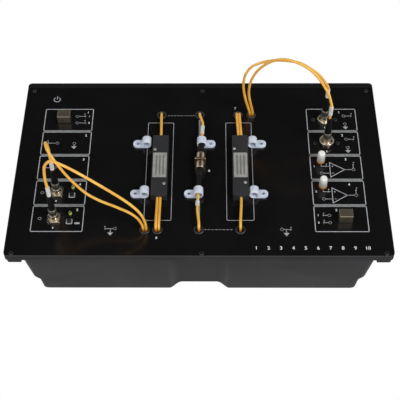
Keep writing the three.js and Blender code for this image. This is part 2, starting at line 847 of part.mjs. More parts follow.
// The plug's outline from its nose to its far end, along the axis.
function plugProfile({ base, tip, collar, rim, boot, gap, sleeve }) {
  const noseBottom = boreFloor + seatGap;
  const shoulderLow = barrelTop + seatGap;
  const shoulderHigh = shoulderLow + shoulderThickness;
  const bootLow = collarLow + collar;
  const bootHigh = bootLow + boot;
  const sleeveLow = bootHigh + gap;
  const sleeveHigh = sleeveLow + sleeve;
  const profile = [
    [0, noseBottom],
    [ferruleRadius, noseBottom],
    [ferruleRadius, noseBottom + plugNose],
    [barrelBore - seatGap, noseBottom + plugNose],
    [barrelBore - seatGap, shoulderLow],
    [shoulderRadius, shoulderLow],
    [shoulderRadius, shoulderHigh],
    [neckRadius, shoulderHigh],
    [neckRadius, collarLow],
    [base, collarLow],
  ];
  if (collar > 0) {
    profile.push([rim, bootLow - rimRound]);
    profile.push([rim - rimRound, bootLow]);
    profile.push([base, bootLow]);
  }
  profile.push([tip, bootHigh]);
  if (gap > 0) {
    profile.push([fibreRadius, bootHigh]);
    profile.push([fibreRadius, sleeveLow]);
  }
  profile.push([sleeveRadius, sleeveLow]);
  profile.push([sleeveRadius, sleeveHigh]);
  profile.push([0, sleeveHigh]);
  return profile;
}

// How far a plug reaches from the panel's face, up to the place where its fibre begins.
const plugReach = ({ collar, boot, gap, sleeve }) =>
  collarLow + collar + boot + gap + sleeve + seatGap;

function couplingNut(nutOuter) {
  const outline = new THREE.Shape();
  const points = [];
  for (let i = 0; i < 2 * nutFlutes; i += 1) {
    const angle = (i / nutFlutes) * Math.PI;
    const radius = i % 2 === 0 ? nutOuter : nutOuter - nutGroove;
    points.push(new THREE.Vector2(radius * Math.cos(angle), radius * Math.sin(angle)));
  }
  outline.setFromPoints(points);
  const bore = bar(barrelRadius + seatGap, nutBottom - cutOverrun, nutTop - nutTopWall);
  const mouth = bar(neckRadius + seatGap, nutTop - nutTopWall - cutOverrun, nutTop + cutOverrun);
  return pushed(outline, nutBottom, nutTop).subtract(bore).subtract(mouth);
}

// Link: an adapter with a barrel on each side, and a plug in each barrel
const adapterPlate = 2;
const adapterFlange = 12.7;
const adapterCorner = 1.5;
const linkHeight = adapterFlange / 2 + seatGap;

function linkAdapter() {
  const outline = roundedRectangle(adapterFlange, adapterFlange, adapterCorner);
  const half = adapterPlate / 2;
  const reach = half + barrelTop - boreFloor;
  let adapter = pushed(outline, -half, half).add(bar(barrelRadius, -reach, reach));
  adapter = adapter.subtract(bar(barrelBore, half, reach + cutOverrun, smallSides));
  adapter = adapter.subtract(bar(barrelBore, -reach - cutOverrun, -half, smallSides));
  return adapter;
}

// How far a link plug's own origin lies from the adapter's middle.
const linkPlugShift = adapterPlate / 2 - boreFloor;

// Square data socket lying on the panel, its mouth along +X
const socketLength = 14.6;
const socketWidth = 11;
const socketHeight = 11.2;
const socketWall = 1.1;
const socketDepth = 11;
const tongueWidth = 3.4;
const tongueHeight = 5.6;
const tongueLength = 7;

function dataSocket() {
  const half = socketWidth / 2;
  const shell = block([-socketLength / 2, -half, 0], [socketLength / 2, half, socketHeight]);
  const inside = block(
    [socketLength / 2 - socketDepth, -half + socketWall, socketWall],
    [socketLength / 2 + cutOverrun, half - socketWall, socketHeight - socketWall],
  );
  const root = socketLength / 2 - socketDepth - socketWall / 2;
  const tongue = block(
    [root, -tongueWidth / 2, (socketHeight - tongueHeight) / 2],
    [root + tongueLength, tongueWidth / 2, (socketHeight + tongueHeight) / 2],
  );
  return shell.subtract(inside).add(tongue);
}

// Coupler box: two fibres at one end and one at the other
const couplerWidth = 18;
const couplerLength = 88;
const couplerHeight = 10;
const couplerCorner = 1;
const couplerPortRadius = fibreRadius + 2 * seatGap;
const couplerPortDepth = 6;
const couplerPortHeight = 5;
const pairSpread = fibreRadius + seatGap / 2;

function couplerBox(pairSide) {
  const outline = roundedRectangle(couplerWidth, couplerLength, couplerCorner);
  let box = pushed(outline, 0, couplerHeight);
  const ports = [
    [-pairSpread, pairSide],
    [pairSpread, pairSide],
    [0, -pairSide],
  ];
  for (const [x, side] of ports) {
    const port = bar(couplerPortRadius, -couplerPortDepth, cutOverrun, smallSides)
      .rotate([side > 0 ? -90 : 90, 0, 0])
      .translate([x, (side * couplerLength) / 2, couplerPortHeight]);
    box = box.subtract(port);
  }
  return box;
}

// Cable clip: one nylon strap bent into a loop, its two ends lying on each other under a screw
const clipOuter = 5.4;
const clipStrap = 1.2;
const clipWidth = 10;
const clipReach = 10.4;
const clipTip = 5.6;
const clipSlit = 0.4;
const clipHole = 2;
const clipLift = seatGap;

function cableClip(side) {
  const loopHeight = clipLift + clipOuter;
  const loop = (radius, half) =>
    bar(radius, -half, half).rotate([90, 0, 0]).translate([0, 0, loopHeight]);
  const tabHigh = clipLift + 2 * clipStrap + clipSlit;
  const tabEnd = clipReach + clipTip;
  const tabOutline = roundedRectangle(2 * tabEnd, clipWidth, clipWidth / 2 - clipSlit);
  const tab = pushed(tabOutline, clipLift, tabHigh).subtract(
    block([-2 * tabEnd, -clipWidth, 0], [0, clipWidth, 2 * tabHigh]),
  );
  const slit = block(
    [0, -clipWidth, clipLift + clipStrap],
    [2 * tabEnd, clipWidth, clipLift + clipStrap + clipSlit],
  );
  const bore = loop(clipOuter - clipStrap, clipWidth);
  const hole = bar(clipHole, 0, tabHigh + cutOverrun, smallSides, clipReach);
  const clip = loop(clipOuter, clipWidth / 2).add(tab).subtract(slit).subtract(bore);
  return clip.subtract(hole).rotate([0, 0, side > 0 ? 0 : 180]);
}

// Knob on its shaft, over a coloured collar
const collarRadius = 4.6;
const collarFoot = 3.6;
const collarHeight = 3.7;
const knobRadius = 4.45;
const knobTopRadius = 4;
const knobHeight = 17;
const knobDome = 2;
const knobSlotWidth = 1;
const knobSlotDepth = 1;

function biasKnob() {
  const shaftLow = boardTop + trimmerFloor + seatGap;
  const body = turned([
    [0, shaftLow],
    [shaftRadius, shaftLow],
    [shaftRadius, seatGap],
    [collarFoot, seatGap],
    [collarRadius, collarHeight / 2],
    [knobRadius, collarHeight],
    [knobRadius, knobHeight / 2],
    [knobTopRadius, knobHeight - knobDome],
    [knobTopRadius - knobDome / 2, knobHeight - knobDome / 2],
    [0, knobHeight],
  ]);
  const slot = block(
    [-knobTopRadius / 2, -knobSlotWidth / 2, knobHeight - knobDome - knobSlotDepth],
    [knobTopRadius / 2, knobSlotWidth / 2, knobHeight + cutOverrun],
  );
  return body.subtract(slot);
}

// Push button cap, which slides down into its switch
const capProud = 3;

function buttonCap() {
  const outline = roundedRectangle(capWidth, capWidth, capCorner);
  const low = boardTop + switchFloor + buttonTravel + seatGap;
  return pushed(outline, low, capProud);
}

// A fibre along a route of points: a round section pushed along a smooth curve.
const fibreSides = 8;
const fibreStep = 9;

function fibre(route) {
  const curve = new THREE.CatmullRomCurve3(
    route.map((point) => new THREE.Vector3(...point)),
    false,
    "centripetal",
  );
  const section = new THREE.Shape();
  const points = [];
  for (let i = 0; i < fibreSides; i += 1) {
    const angle = (i / fibreSides) * 2 * Math.PI;
    points.push(
      new THREE.Vector2(fibreRadius * Math.cos(angle), fibreRadius * Math.sin(angle)),
    );
  }
  section.setFromPoints(points);
  return solidOf(
    new THREE.ExtrudeGeometry(section, {
      steps: Math.round(curve.getLength() / fibreStep),
      bevelEnabled: false,
      extrudePath: curve,
    }),
  );
}

// Routes of the free fibres above the panel, chosen by hand, from the grommet to the plug
const freeStart = grommetLip + seatGap;
const source1Route = [
  [sourceGrommetX - pairSpread, grommetFrontY, freeStart],
  [sourceGrommetX - pairSpread, grommetFrontY, 4.5],
  [-62.4, -92.8, 11.5],
  [-67, -91.2, 19.8],
  [-74.6, -89, 25.5],
  [-89, -85.2, 31],
  [-104.5, -81.4, 36],
  [-118.5, -77.6, 43],
  [-130, -73.6, 54],
  [-139.5, -69.8, 66],
  [-147, -66.4, 78],
  [-152.8, -63, 87.6],
  [-157.5, -57.5, 93.6],
  [-160, -50, 94.2],
  [-160.5, -43.8, 87],
  [sourceX, -41.4, 75.6],
  [sourceX, sourceRows[0], 65],
  [sourceX, sourceRows[0], plugReach(sourcePlug)],
];
const source2Route = [
  [sourceGrommetX + pairSpread, grommetFrontY, freeStart],
  [sourceGrommetX + pairSpread, grommetFrontY, 5],
  [-58.3, -93.2, 14],
  [-61.6, -92.4, 26],
  [-68.6, -91.2, 37.5],
  [-80, -89.3, 49.5],
  [-96, -87, 63.5],
  [-112, -84.7, 76.5],
  [-128, -82.2, 88.5],
  [-140, -80.2, 95.8],
  [-149.8, -78.6, 99.6],
  [-153.9, -77.9, 97.6],
  [-157.4, -77.6, 92.8],
  [-159.2, -77.6, 87.8],
  [-159.8, -77.7, 82.6],
  [-160.4, -77.8, 76.2],
  [-160.6, -77.9, 68.8],
  [-160.5, -78, 62],
  [sourceX, sourceRows[1], plugReach(sourcePlug)],
];
const detector1Route = [
  [detectorGrommetX - pairSpread, grommetBackY, freeStart],
  [detectorGrommetX - pairSpread, grommetBackY, 4.5],
  [57.6, 75, 12],
  [54.4, 75, 25],
  [51.6, 75, 40],
  [50.6, 75, 55],
  [52.8, 75, 69.6],
  [59, 75, 81],
  [69.6, 74.6, 88],
  [83, 74, 92],
  [97, 72.8, 92.8],
  [110.7, 71.6, 91.2],
  [118.9, 71, 87.3],
  [125.2, 70.4, 82.7],
  [131.2, 69.8, 78],
  [136.4, 69.2, 72.7],
  [140.5, 68.6, 67.4],
  [143.6, 68.1, 62.4],
  [146, 67.7, 58.4],
  [147.4, detectorRows[0], 55.2],
  [detectorX, detectorRows[0], plugReach(closePlug)],
];
const detector2Route = [
  [detectorGrommetX + pairSpread, grommetBackY, freeStart],
  [detectorGrommetX + pairSpread, grommetBackY, 5],
  [61.4, 75, 13],
  [58.8, 74.8, 26],
  [57.2, 74.4, 40],
  [58, 73.6, 54],
  [61.4, 72, 69],
  [67.8, 69, 84],
  [77, 65.2, 97],
  [88, 60.4, 107],
  [99, 55.4, 110.8],
  [108.2, 50.8, 110.8],
  [115.8, 47.4, 109],
  [121.8, 44.6, 106.1],
  [126.4, 42, 103.1],
  [131.1, 39.4, 98.6],
  [135, 37.2, 93.7],
  [139.6, 34.6, 86.7],
  [142.8, 33, 81.2],
  [144.8, 32, 75.5],
  [146.5, 31.2, 69.4],
  [147.4, detectorRows[1], 65.6],
  [detectorX, detectorRows[1], raisedStemLift + plugReach(spacedPlug)],
];

// Routes of the fibres that the object holds all the way
const slackDepth = 58;
const slackReach = 22;
const slackShares = [
  [1, 0.6],
  [0.72, 0.88],
  [0, 1],
  [-0.72, 0.88],
  [-1, 0.6],
];
const linkDipShares = [
  [0.93, 0.45],
  [0.72, 0.68],
  [0.5, 0.75],
  [0.28, 0.68],
  [0.07, 0.45],
];
const twistShares = [0.12, 0.3, 0.46];
const slackSpread = fibreRadius + 2 * seatGap;
const crestHeight = 5.8;
const bendRadius = 5;
const bendSteps = 3;
const leadRun = 6;
const couplerEnd = couplerLength / 2;
const entryInset = couplerPortDepth - seatGap;

// A quarter bend from level to straight down, the crest on the given side of the grommet.
function bendDown(x, y, side) {
  const points = [];
  for (let i = 0; i <= bendSteps; i += 1) {
    const angle = ((i / bendSteps) * Math.PI) / 2;
    points.push([
      x,
      y + side * bendRadius * (1 - Math.sin(angle)),
      crestHeight - bendRadius * (1 - Math.cos(angle)),
    ]);
  }
  return points;
}

// Two fibres side by side turn a quarter round each other on their way down or up.
function twist(x, y, lane, reversed) {
  const points = twistShares.map((share, i) => {
    const part = i / (twistShares.length - 1);
    const angle = (part * Math.PI) / 2;
    const spread = pairSpread + part * (slackSpread - pairSpread);
    return [
      x + lane * spread * Math.cos(angle),
      y + lane * spread * Math.sin(angle),
      -slackDepth * share,
    ];
  });
  return reversed ? points.reverse() : points;
}

// From a coupler's pair of ports down its grommet, round a slack loop and up out of the next.
function pairLead(boxX, couplerX, grommetX, grommetY, side, lane) {
  const portY = couplerMiddleY + side * couplerEnd;
  const middle = (couplerX + grommetX) / 2;
  const turn = Math.sign(couplerX - grommetX);
  const laneY = grommetY + lane * slackSpread;
  const portX = boxX + lane * pairSpread;
  const startX = couplerX + lane * pairSpread;
  const endX = grommetX + lane * pairSpread;
  return [
    [portX, portY - side * entryInset, couplerPortHeight],
    [portX, portY + side * leadRun, couplerPortHeight],
    ...bendDown(startX, grommetY, -side),
    ...twist(couplerX, grommetY, lane, false),
    ...slackShares.map(([share, depthShare]) => [
      middle + turn * slackReach * share,
      laneY,
      -slackDepth * depthShare,
    ]),
    ...twist(grommetX, grommetY, lane, true),
    [endX, grommetY, 0],
    [endX, grommetY, grommetLip],
  ];
}

// From a coupler's single port down its grommet, under the panel and up to a plug of the link.
function linkLead(boxX, couplerX, side, plugPlace) {
  const grommetY = side > 0 ? grommetBackY : grommetFrontY;
  const portY = couplerMiddleY + side * couplerEnd;
  return [
    [boxX, portY - side * entryInset, couplerPortHeight],
    [boxX, portY + side * leadRun, couplerPortHeight],
    ...bendDown(couplerX, grommetY, -side),
    ...linkDipShares.map(([share, depthShare]) => [
      couplerX * share,
      grommetY,
      -slackDepth * depthShare,
    ]),
    ...bendDown(linkGrommetX, grommetY, -side).reverse(),
    plugPlace.map((value, axis) => (axis === 1 ? value + side * leadRun : value)),
    plugPlace,
  ];
}

// Assembly
const trainer = new THREE.Group();
const onPanel = new THREE.Group();
onPanel.position.set(0, 0, panelTop);
trainer.add(onPanel);

trainer.add(mesh("case_tub", caseTub(), caseFinish()));
for (const [sideX, endX] of [["left", -1], ["right", 1]]) {
  for (const [sideY, endY] of [["front", -1], ["back", 1]]) {
    const x = endX * (tubHalfWidth(tubBottom) - sideStep - footInsetX);
    const y = endY * (tubHalfDepth(tubBottom) - footInsetY);
    trainer.add(mesh(`foot_${sideY}_${sideX}`, turned(footProfile), rubberFinish(), [x, y, 0]));
  }
}
trainer.add(
  mesh("mains_inlet", mainsInlet(), blackPlasticFinish(), [inletX, 0, inletZ]),
  mesh("power_supply", powerSupply(), supplyFinish(), [
    supplyX,
    supplyY,
    tubBottom + wall + seatGap,
  ]),
);

const rockerPlace = [inletX + rockerOffset, inletFaceY, inletZ];
const rocker = mesh("mains_rocker", mainsRocker(), blackPlasticFinish(), rockerPlace);
rocker.rotation.x = -rockerSwing;
trainer.add(rocker);

onPanel.add(mesh("front_panel", frontPanel(), panelFinish()));
onPanel.add(mesh("main_board", mainBoard(), boardFinish()));
for (const [name, x, y] of grommetPlaces) {
  onPanel.add(mesh(name, turned(grommetProfile, smallSides), rubberFinish(), [x, y, 0]));
}
for (const { name, x, y, turn } of socketPlaces) {
  const socket = mesh(name, dataSocket(), nickelFinish(), [x, y, seatGap]);
  socket.rotation.z = turn;
  onPanel.add(socket);
}

const panelPlugs = [
  { name: "source", index: 1, x: sourceX, y: sourceRows[0], form: sourcePlug },
  { name: "source", index: 2, x: sourceX, y: sourceRows[1], form: sourcePlug },
  { name: "detector", index: 1, x: detectorX, y: detectorRows[0], form: closePlug },
  { name: "detector", index: 2, x: detectorX, y: detectorRows[1], form: spacedPlug },
];
const detectorLifts = [
  [0, 0],
  [raisedDishLift, raisedStemLift],
];
for (const { name, index, x, y, form } of panelPlugs) {
  const [dishLift, lift] = name === "source" ? [0, 0] : detectorLifts[index - 1];
  const receptacle =
    name === "source" ? sourceReceptacle() : detectorReceptacle(dishLift, lift);
  const plug = turned(plugProfile(form));
  const nut = couplingNut(panelNutOuter);
  onPanel.add(
    mesh(`${name}_receptacle_${index}`, receptacle, nickelFinish(), [x, y, 0]),
    mesh(`${name}_plug_${index}`, plug, rubberFinish(), [x, y, lift]),
    mesh(`${name}_nut_${index}`, nut, nickelFinish(), [x, y, lift]),
  );
}

const link = new THREE.Group();
link.position.set(linkX, linkY, linkHeight);
link.rotation.z = linkTurn;
onPanel.add(link);
const adapter = mesh("link_adapter", linkAdapter(), nickelFinish());
adapter.rotation.x = -Math.PI / 2;
link.add(adapter);
for (const [name, side, form] of [["back", 1, linkBackPlug], ["front", -1, linkFrontPlug]]) {
  const end = new THREE.Group();
  end.position.y = side * linkPlugShift;
  end.rotation.x = (-side * Math.PI) / 2;
  end.add(
    mesh(`link_plug_${name}`, turned(plugProfile(form)), rubberFinish()),
    mesh(`link_nut_${name}`, couplingNut(linkNutOuter), nickelFinish()),
  );
  link.add(end);
}

const couplers = [
  { name: "multiplexer_box", x: multiplexerX, pairSide: -1 },
  { name: "demultiplexer_box", x: demultiplexerX, pairSide: 1 },
];
for (const { name, x, pairSide } of couplers) {
  onPanel.add(
    mesh(name, couplerBox(pairSide), couplerFinish(), [x, couplerMiddleY, seatGap]),
  );
}

// Where the link's axis lies at a distance from its middle.
function alongLink(distance) {
  return [
    linkX - distance * Math.sin(linkTurn),
    linkY + distance * Math.cos(linkTurn),
    linkHeight,
  ];
}

clipRows.forEach((y, row) => {
  const rowName = ["back", "front"][row];
  for (const [name, side] of [["multiplexer", -1], ["demultiplexer", 1]]) {
    const x = side * (clipHoleSpread - clipReach);
    onPanel.add(mesh(`clip_${name}_${rowName}`, cableClip(side), nylonFinish(), [x, y, 0]));
  }
  const [linkClipX] = alongLink(y - linkY);
  const side = row === 0 ? 1 : -1;
  onPanel.add(mesh(`clip_link_${rowName}`, cableClip(side), nylonFinish(), [linkClipX, y, 0]));
});

knobRows.forEach((y, row) => {
  onPanel.add(mesh(`bias_knob_${row + 1}`, biasKnob(), knobFinish(), [knobX, y, 0]));
});
buttonRows.forEach((y, row) => {
  onPanel.add(mesh(`push_button_${row + 1}`, buttonCap(), blackPlasticFinish(), [buttonX, y, 0]));
});

const linkBackEnd = alongLink(linkPlugShift + plugReach(linkBackPlug));
const linkFrontEnd = alongLink(-linkPlugShift - plugReach(linkFrontPlug));
const sourceLead = (lane) =>
  pairLead(multiplexerX, -couplerSpread, sourceGrommetX, grommetFrontY, -1, lane);
const detectorLead = (lane) =>
  pairLead(demultiplexerX, couplerSpread, detectorGrommetX, grommetBackY, 1, lane);
const fibres = [
  ["source_fibre_1", source1Route],
  ["source_fibre_2", source2Route],
  ["detector_fibre_1", detector1Route],
  ["detector_fibre_2", detector2Route],
  ["source_lead_1", sourceLead(-1)],
  ["source_lead_2", sourceLead(1)],
  ["detector_lead_1", detectorLead(-1)],
  ["detector_lead_2", detectorLead(1)],
  ["link_lead_back", linkLead(multiplexerX, -couplerSpread, 1, linkBackEnd)],
  ["link_lead_front", linkLead(demultiplexerX, couplerSpread, -1, linkFrontEnd)],
];
for (const [name, route] of fibres) {
  onPanel.add(mesh(name, fibre(route), fibreFinish()));
}

export default trainer;
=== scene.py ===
import json
import math

import bmesh
import bpy
import numpy as np
from mathutils import Matrix, Vector

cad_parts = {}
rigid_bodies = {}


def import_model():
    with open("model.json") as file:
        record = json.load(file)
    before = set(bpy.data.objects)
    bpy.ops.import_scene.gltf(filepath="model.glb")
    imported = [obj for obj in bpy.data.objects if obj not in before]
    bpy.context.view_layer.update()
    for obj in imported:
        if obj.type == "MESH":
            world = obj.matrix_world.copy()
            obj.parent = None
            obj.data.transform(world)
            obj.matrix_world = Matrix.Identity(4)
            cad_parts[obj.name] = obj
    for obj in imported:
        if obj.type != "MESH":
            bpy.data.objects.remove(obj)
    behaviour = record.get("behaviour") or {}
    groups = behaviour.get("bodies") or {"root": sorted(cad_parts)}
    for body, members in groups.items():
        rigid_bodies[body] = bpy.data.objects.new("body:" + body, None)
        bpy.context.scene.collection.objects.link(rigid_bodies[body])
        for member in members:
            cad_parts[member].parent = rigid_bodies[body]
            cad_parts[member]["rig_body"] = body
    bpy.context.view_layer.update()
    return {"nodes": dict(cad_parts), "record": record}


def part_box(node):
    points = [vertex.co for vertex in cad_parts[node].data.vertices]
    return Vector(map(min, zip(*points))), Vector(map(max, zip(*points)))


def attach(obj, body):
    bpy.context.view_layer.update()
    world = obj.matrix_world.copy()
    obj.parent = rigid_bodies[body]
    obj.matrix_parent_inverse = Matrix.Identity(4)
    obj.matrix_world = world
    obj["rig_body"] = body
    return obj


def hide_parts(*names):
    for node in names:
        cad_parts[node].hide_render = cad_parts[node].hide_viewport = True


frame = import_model()

# Camera, floor and studio light
# A bench photograph from the front and well above: one long lens, a white sweep of paper,
# two large soft lamps on the near side and a black flag over the far side.
scene = bpy.context.scene
scene.view_settings.view_transform = "Standard"


class Wire:
    """A socket in a node tree. Sums and products of wires add Math nodes."""

    def __init__(self, tree, socket=None):
        self.tree = tree
        self.socket = socket

    def node(self, kind, settings=None, values=None, output=0):
        """Adds any node: first its settings, then the values or wires of its sockets."""
        made = self.tree.nodes.new(kind)
        for name, value in (settings or {}).items():
            setattr(made, name, value)
        for name, value in (values or {}).items():
            if isinstance(value, Wire):
                self.tree.links.new(value.socket, made.inputs[name])
            else:
                made.inputs[name].default_value = value
        return Wire(self.tree, made.outputs[output] if made.outputs else None)

    def maths(self, operation, first, second=0.0):
        return self.node("ShaderNodeMath", {"operation": operation}, {0: first, 1: second})

    def __add__(self, other):
        return self.maths("ADD", self, other)

    def __radd__(self, other):
        return self.maths("ADD", other, self)

    def __sub__(self, other):
        return self.maths("SUBTRACT", self, other)

    def __rsub__(self, other):
        return self.maths("SUBTRACT", other, self)

    def __mul__(self, other):
        return self.maths("MULTIPLY", self, other)

    def __rmul__(self, other):
        return self.maths("MULTIPLY", other, self)

    def between(self, low, high):
        """0 up to low, 1 from high on, and a smooth step between them."""
        settings = {"interpolation_type": "SMOOTHSTEP"}
        return self.node("ShaderNodeMapRange", settings, {"Value": self, 1: low, 2: high})

    def mixed(self, first, second):
        """The first colour where this wire is 0 and the second where it is 1."""
        values = {"Factor": self, 6: first, 7: second}
        return self.node("ShaderNodeMix", {"data_type": "RGBA"}, values, output=2)


def new_material(name):
    """An empty material, and the wire that adds its nodes."""
    material = bpy.data.materials.new(name)
    material.use_nodes = True
    material.node_tree.nodes.clear()
    return material, Wire(material.node_tree)


def added(name, data):
    """A new object, linked to the scene."""
    thing = bpy.data.objects.new(name, data)
    scene.collection.objects.link(thing)
    return thing


def ray(nodes, kind):
    """1 for the rays of one kind, and 0 for all others."""
    return nodes.node("ShaderNodeLightPath", output=kind)


lens = 89.57
camera_place = (0.0117, -0.726336, 0.970466)
camera_down = math.radians(52.635)
camera_turn = math.radians(-0.912)
camera_roll = math.radians(-0.701)

camera_data = bpy.data.cameras.new("camera")
camera_data.lens = lens
camera = added("camera", camera_data)
level = Matrix.Rotation(math.pi / 2 - camera_down, 4, "X")
heading = Matrix.Rotation(-camera_turn, 4, "Z")
roll = Matrix.Rotation(camera_roll, 4, "Z")
camera.matrix_world = Matrix.Translation(camera_place) @ heading @ level @ roll
scene.camera = camera

flag_direction = (0.0, 0.607, 0.795)
flag_inner = 0.93
flag_outer = 0.72
sky_level = 0.62
flag_level = 0.02

world = bpy.data.worlds.new("studio")
world.use_nodes = True
world.node_tree.nodes.clear()
sky = Wire(world.node_tree)
direction = sky.node("ShaderNodeTexCoord", output="Generated")
toward_flag = sky.node(
    "ShaderNodeVectorMath", {"operation": "DOT_PRODUCT"}, {0: direction, 1: flag_direction}, "Value"
)
flagged = toward_flag.between(flag_outer, flag_inner)
glow = sky_level - flagged * (sky_level - flag_level)
around = sky.node("ShaderNodeBackground", values={"Strength": glow})
paper = sky.node("ShaderNodeBackground", values={"Color": (1, 1, 1, 1), "Strength": 1.0})
mirrored = ray(sky, "Is Glossy Ray") * (1 - flagged)
seen = ray(sky, "Is Camera Ray") + mirrored + ray(sky, "Is Transmission Ray")
mixed_sky = sky.node("ShaderNodeMixShader", values={0: seen, 1: around, 2: paper})
sky.node("ShaderNodeOutputWorld", values={"Surface": mixed_sky})
scene.world = world

lamps = [
    ("key_lamp", (1.5, -1.2, 1.9), 1.0, 36.0),
    ("fill_lamp", (-1.4, -1.2, 1.7), 1.2, 13.0),
]
for name, place, width, power in lamps:
    lamp_data = bpy.data.lights.new(name, "AREA")
    lamp_data.size = width
    lamp_data.energy = power
    lamp = added(name, lamp_data)
    lamp.location = place
    lamp.rotation_euler = (-Vector(place)).to_track_quat("-Z", "Y").to_euler()

floor_half = 6.0
floor_signs = ((-1, -1), (1, -1), (1, 1), (-1, 1))
floor_corners = [(x * floor_half, y * floor_half, 0) for x, y in floor_signs]
floor_mesh = bpy.data.meshes.new("floor")
floor_mesh.from_pydata(floor_corners, [], [(0, 1, 2, 3)])
floor = added("floor", floor_mesh)
floor_material, nodes = new_material("floor_paper")
shaded = nodes.node("ShaderNodeBsdfDiffuse", values={"Color": (0.93, 0.93, 0.93, 1)})
white = nodes.node("ShaderNodeEmission", values={"Color": (1, 1, 1, 1), "Strength": 1.0})
seen = ray(nodes, "Is Camera Ray") + ray(nodes, "Is Glossy Ray") + ray(nodes, "Is Transmission Ray")
mixed_floor = nodes.node("ShaderNodeMixShader", values={0: seen, 1: shaded, 2: white})
nodes.node("ShaderNodeOutputMaterial", values={"Surface": mixed_floor})
floor_mesh.materials.append(floor_material)

# Feet
# Four pads of black rubber, 18 mm across, each held to the floor of the case by a screw whose
# head lies in a small well. The lower edge is rounded by wear.
mm = 0.001
node_body = {name: node["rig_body"] for name, node in frame["nodes"].items()}
node_slot = {row["node"]: row["material_slot"] for row in frame["record"]["subparts"]}


def middle_of(node):
    """The middle of a node's box, in millimetres."""
    low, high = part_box(node)
    return (np.array(low) + np.array(high)) / 2 / mm


def ends_of(node):
    """The lowest and the highest corner of a node's box, in millimetres."""
    low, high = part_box(node)
    return np.array(low) / mm, np.array(high) / mm


def skin(grid, closed=False):
    """The quads between neighbouring points of a grid of rings. Every ring closes on itself.
    The first and last rings get one face each, or are joined to each other when closed."""
    rings, count = grid.shape[:2]
    here = np.arange(rings * count).reshape(rings, count)
    if closed:
        here = np.vstack([here, here[:1]])
    low, high = here[:-1], here[1:]
    corners = [low, np.roll(low, -1, axis=1), np.roll(high, -1, axis=1), high]
    faces = np.stack(corners, axis=-1).reshape(-1, 4).tolist()
    if not closed:
        faces += [here[0, ::-1].tolist(), here[-1].tolist()]
    return grid.reshape(-1, 3), faces


pole = 0.01


def turned(profile, sides=40, closed=False):
    """A lathed skin: each (radius, height) of the profile goes once round Z. A profile that
    ends on the axis starts or stops at the pole, a very small radius."""
    radius, height = np.array(profile, float).T[..., None]
    angle = np.linspace(0, 2 * math.pi, sides, endpoint=False)
    x, y = radius * np.cos(angle), radius * np.sin(angle)
    return skin(np.stack([x, y, np.broadcast_to(height, x.shape)], axis=-1), closed)


def moved(shape, place, axes=None):
    """The points of a shape turned into the three axes and then moved to a place."""
    points, faces = shape
    if axes is not None:
        points = points @ np.array(axes, float)
    return points + np.array(place, float), faces


def dress(piece, material, body, slot, sharp=32.0, bevel=0.0, segments=2):
    """Gives a piece its material, smooth shading up to an angle, a bevel and its body. The slot is
    not used.
    """
    mesh = piece.data
    mesh.materials.clear()
    mesh.materials.append(material)
    mesh.shade_smooth()
    mesh.set_sharp_from_angle(angle=math.radians(sharp))
    if bevel:
        edge = piece.modifiers.new("edge", "BEVEL")
        edge.width = bevel * mm
        edge.segments = segments
        edge.limit_method = "ANGLE"
        edge.angle_limit = math.radians(sharp)
        edge.harden_normals = True
    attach(piece, body)


def build(name, shapes, material, body="base", slot=None, stands_for=(), **edges):
    """One object from closed skins in millimetres, with what it stands for in the frame."""
    faces, start = [], 0
    for points, skin_faces in shapes:
        faces += [[i + start for i in face] for face in skin_faces]
        start += len(points)
    mesh = bpy.data.meshes.new(name)
    mesh.from_pydata(np.vstack([points for points, _ in shapes]) * mm, [], faces)
    mesh.validate()
    piece = added(name, mesh)
    dress(piece, material, body, slot, **edges)
    if stands_for:
        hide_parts(*stands_for)
    return piece


def finish(name, color, roughness, relief=None, **others):
    """A Principled material. A socket gets a value, or a function that makes its wire. Sockets
    beyond the first three go by their own names, with _ for a space."""
    material, nodes = new_material(name)
    sockets = {"Base Color": color, "Roughness": roughness}
    if relief:
        sockets["Normal"] = relief
    sockets.update({key.replace("_", " "): value for key, value in others.items()})
    values = {key: value(nodes) if callable(value) else value for key, value in sockets.items()}
    shader = nodes.node("ShaderNodeBsdfPrincipled", values=values)
    nodes.node("ShaderNodeOutputMaterial", values={"Surface": shader})
    return material


def tone(code):
    """A colour as it shows on a screen, written in six digits, as the light it stands for."""
    shown = np.array([int(code[i : i + 2], 16) for i in (0, 2, 4)]) / 255
    light = np.where(shown <= 0.04045, shown / 12.92, ((shown + 0.055) / 1.055) ** 2.4)
    return (*light.tolist(), 1.0)


def cloud(nodes, scale, detail=3.0):
    """Noise on the object's own coordinates, with the scale in waves per metre."""
    place = nodes.node("ShaderNodeTexCoord", output="Object")
    values = {"Vector": place, "Scale": scale, "Detail": detail}
    return nodes.node("ShaderNodeTexNoise", values=values)


def mottled(first, second, scale, detail=3.0):
    """A colour that wanders between two tones."""

    def color(nodes):
        share = cloud(nodes, scale, detail).between(0.3, 0.7)
        return share.mixed(tone(first), tone(second))

    return color


def ranging(low, high, scale, detail=3.0):
    """A number that wanders between two values."""
    return lambda nodes: low + (high - low) * cloud(nodes, scale, detail)


def grained(depth, scale, strength=0.5, detail=2.0):
    """A fine relief of a depth in metres."""

    def relief(nodes):
        height = cloud(nodes, scale, detail)
        values = {"Height": height, "Distance": depth, "Strength": strength}
        return nodes.node("ShaderNodeBump", values=values)

    return relief


boot_rubber = finish(
    "boot_rubber", mottled("050506", "0A0A0B", 220), ranging(0.5, 0.7, 500),
    grained(0.00006, 1400, 0.4), Specular_IOR_Level=0.16,
)

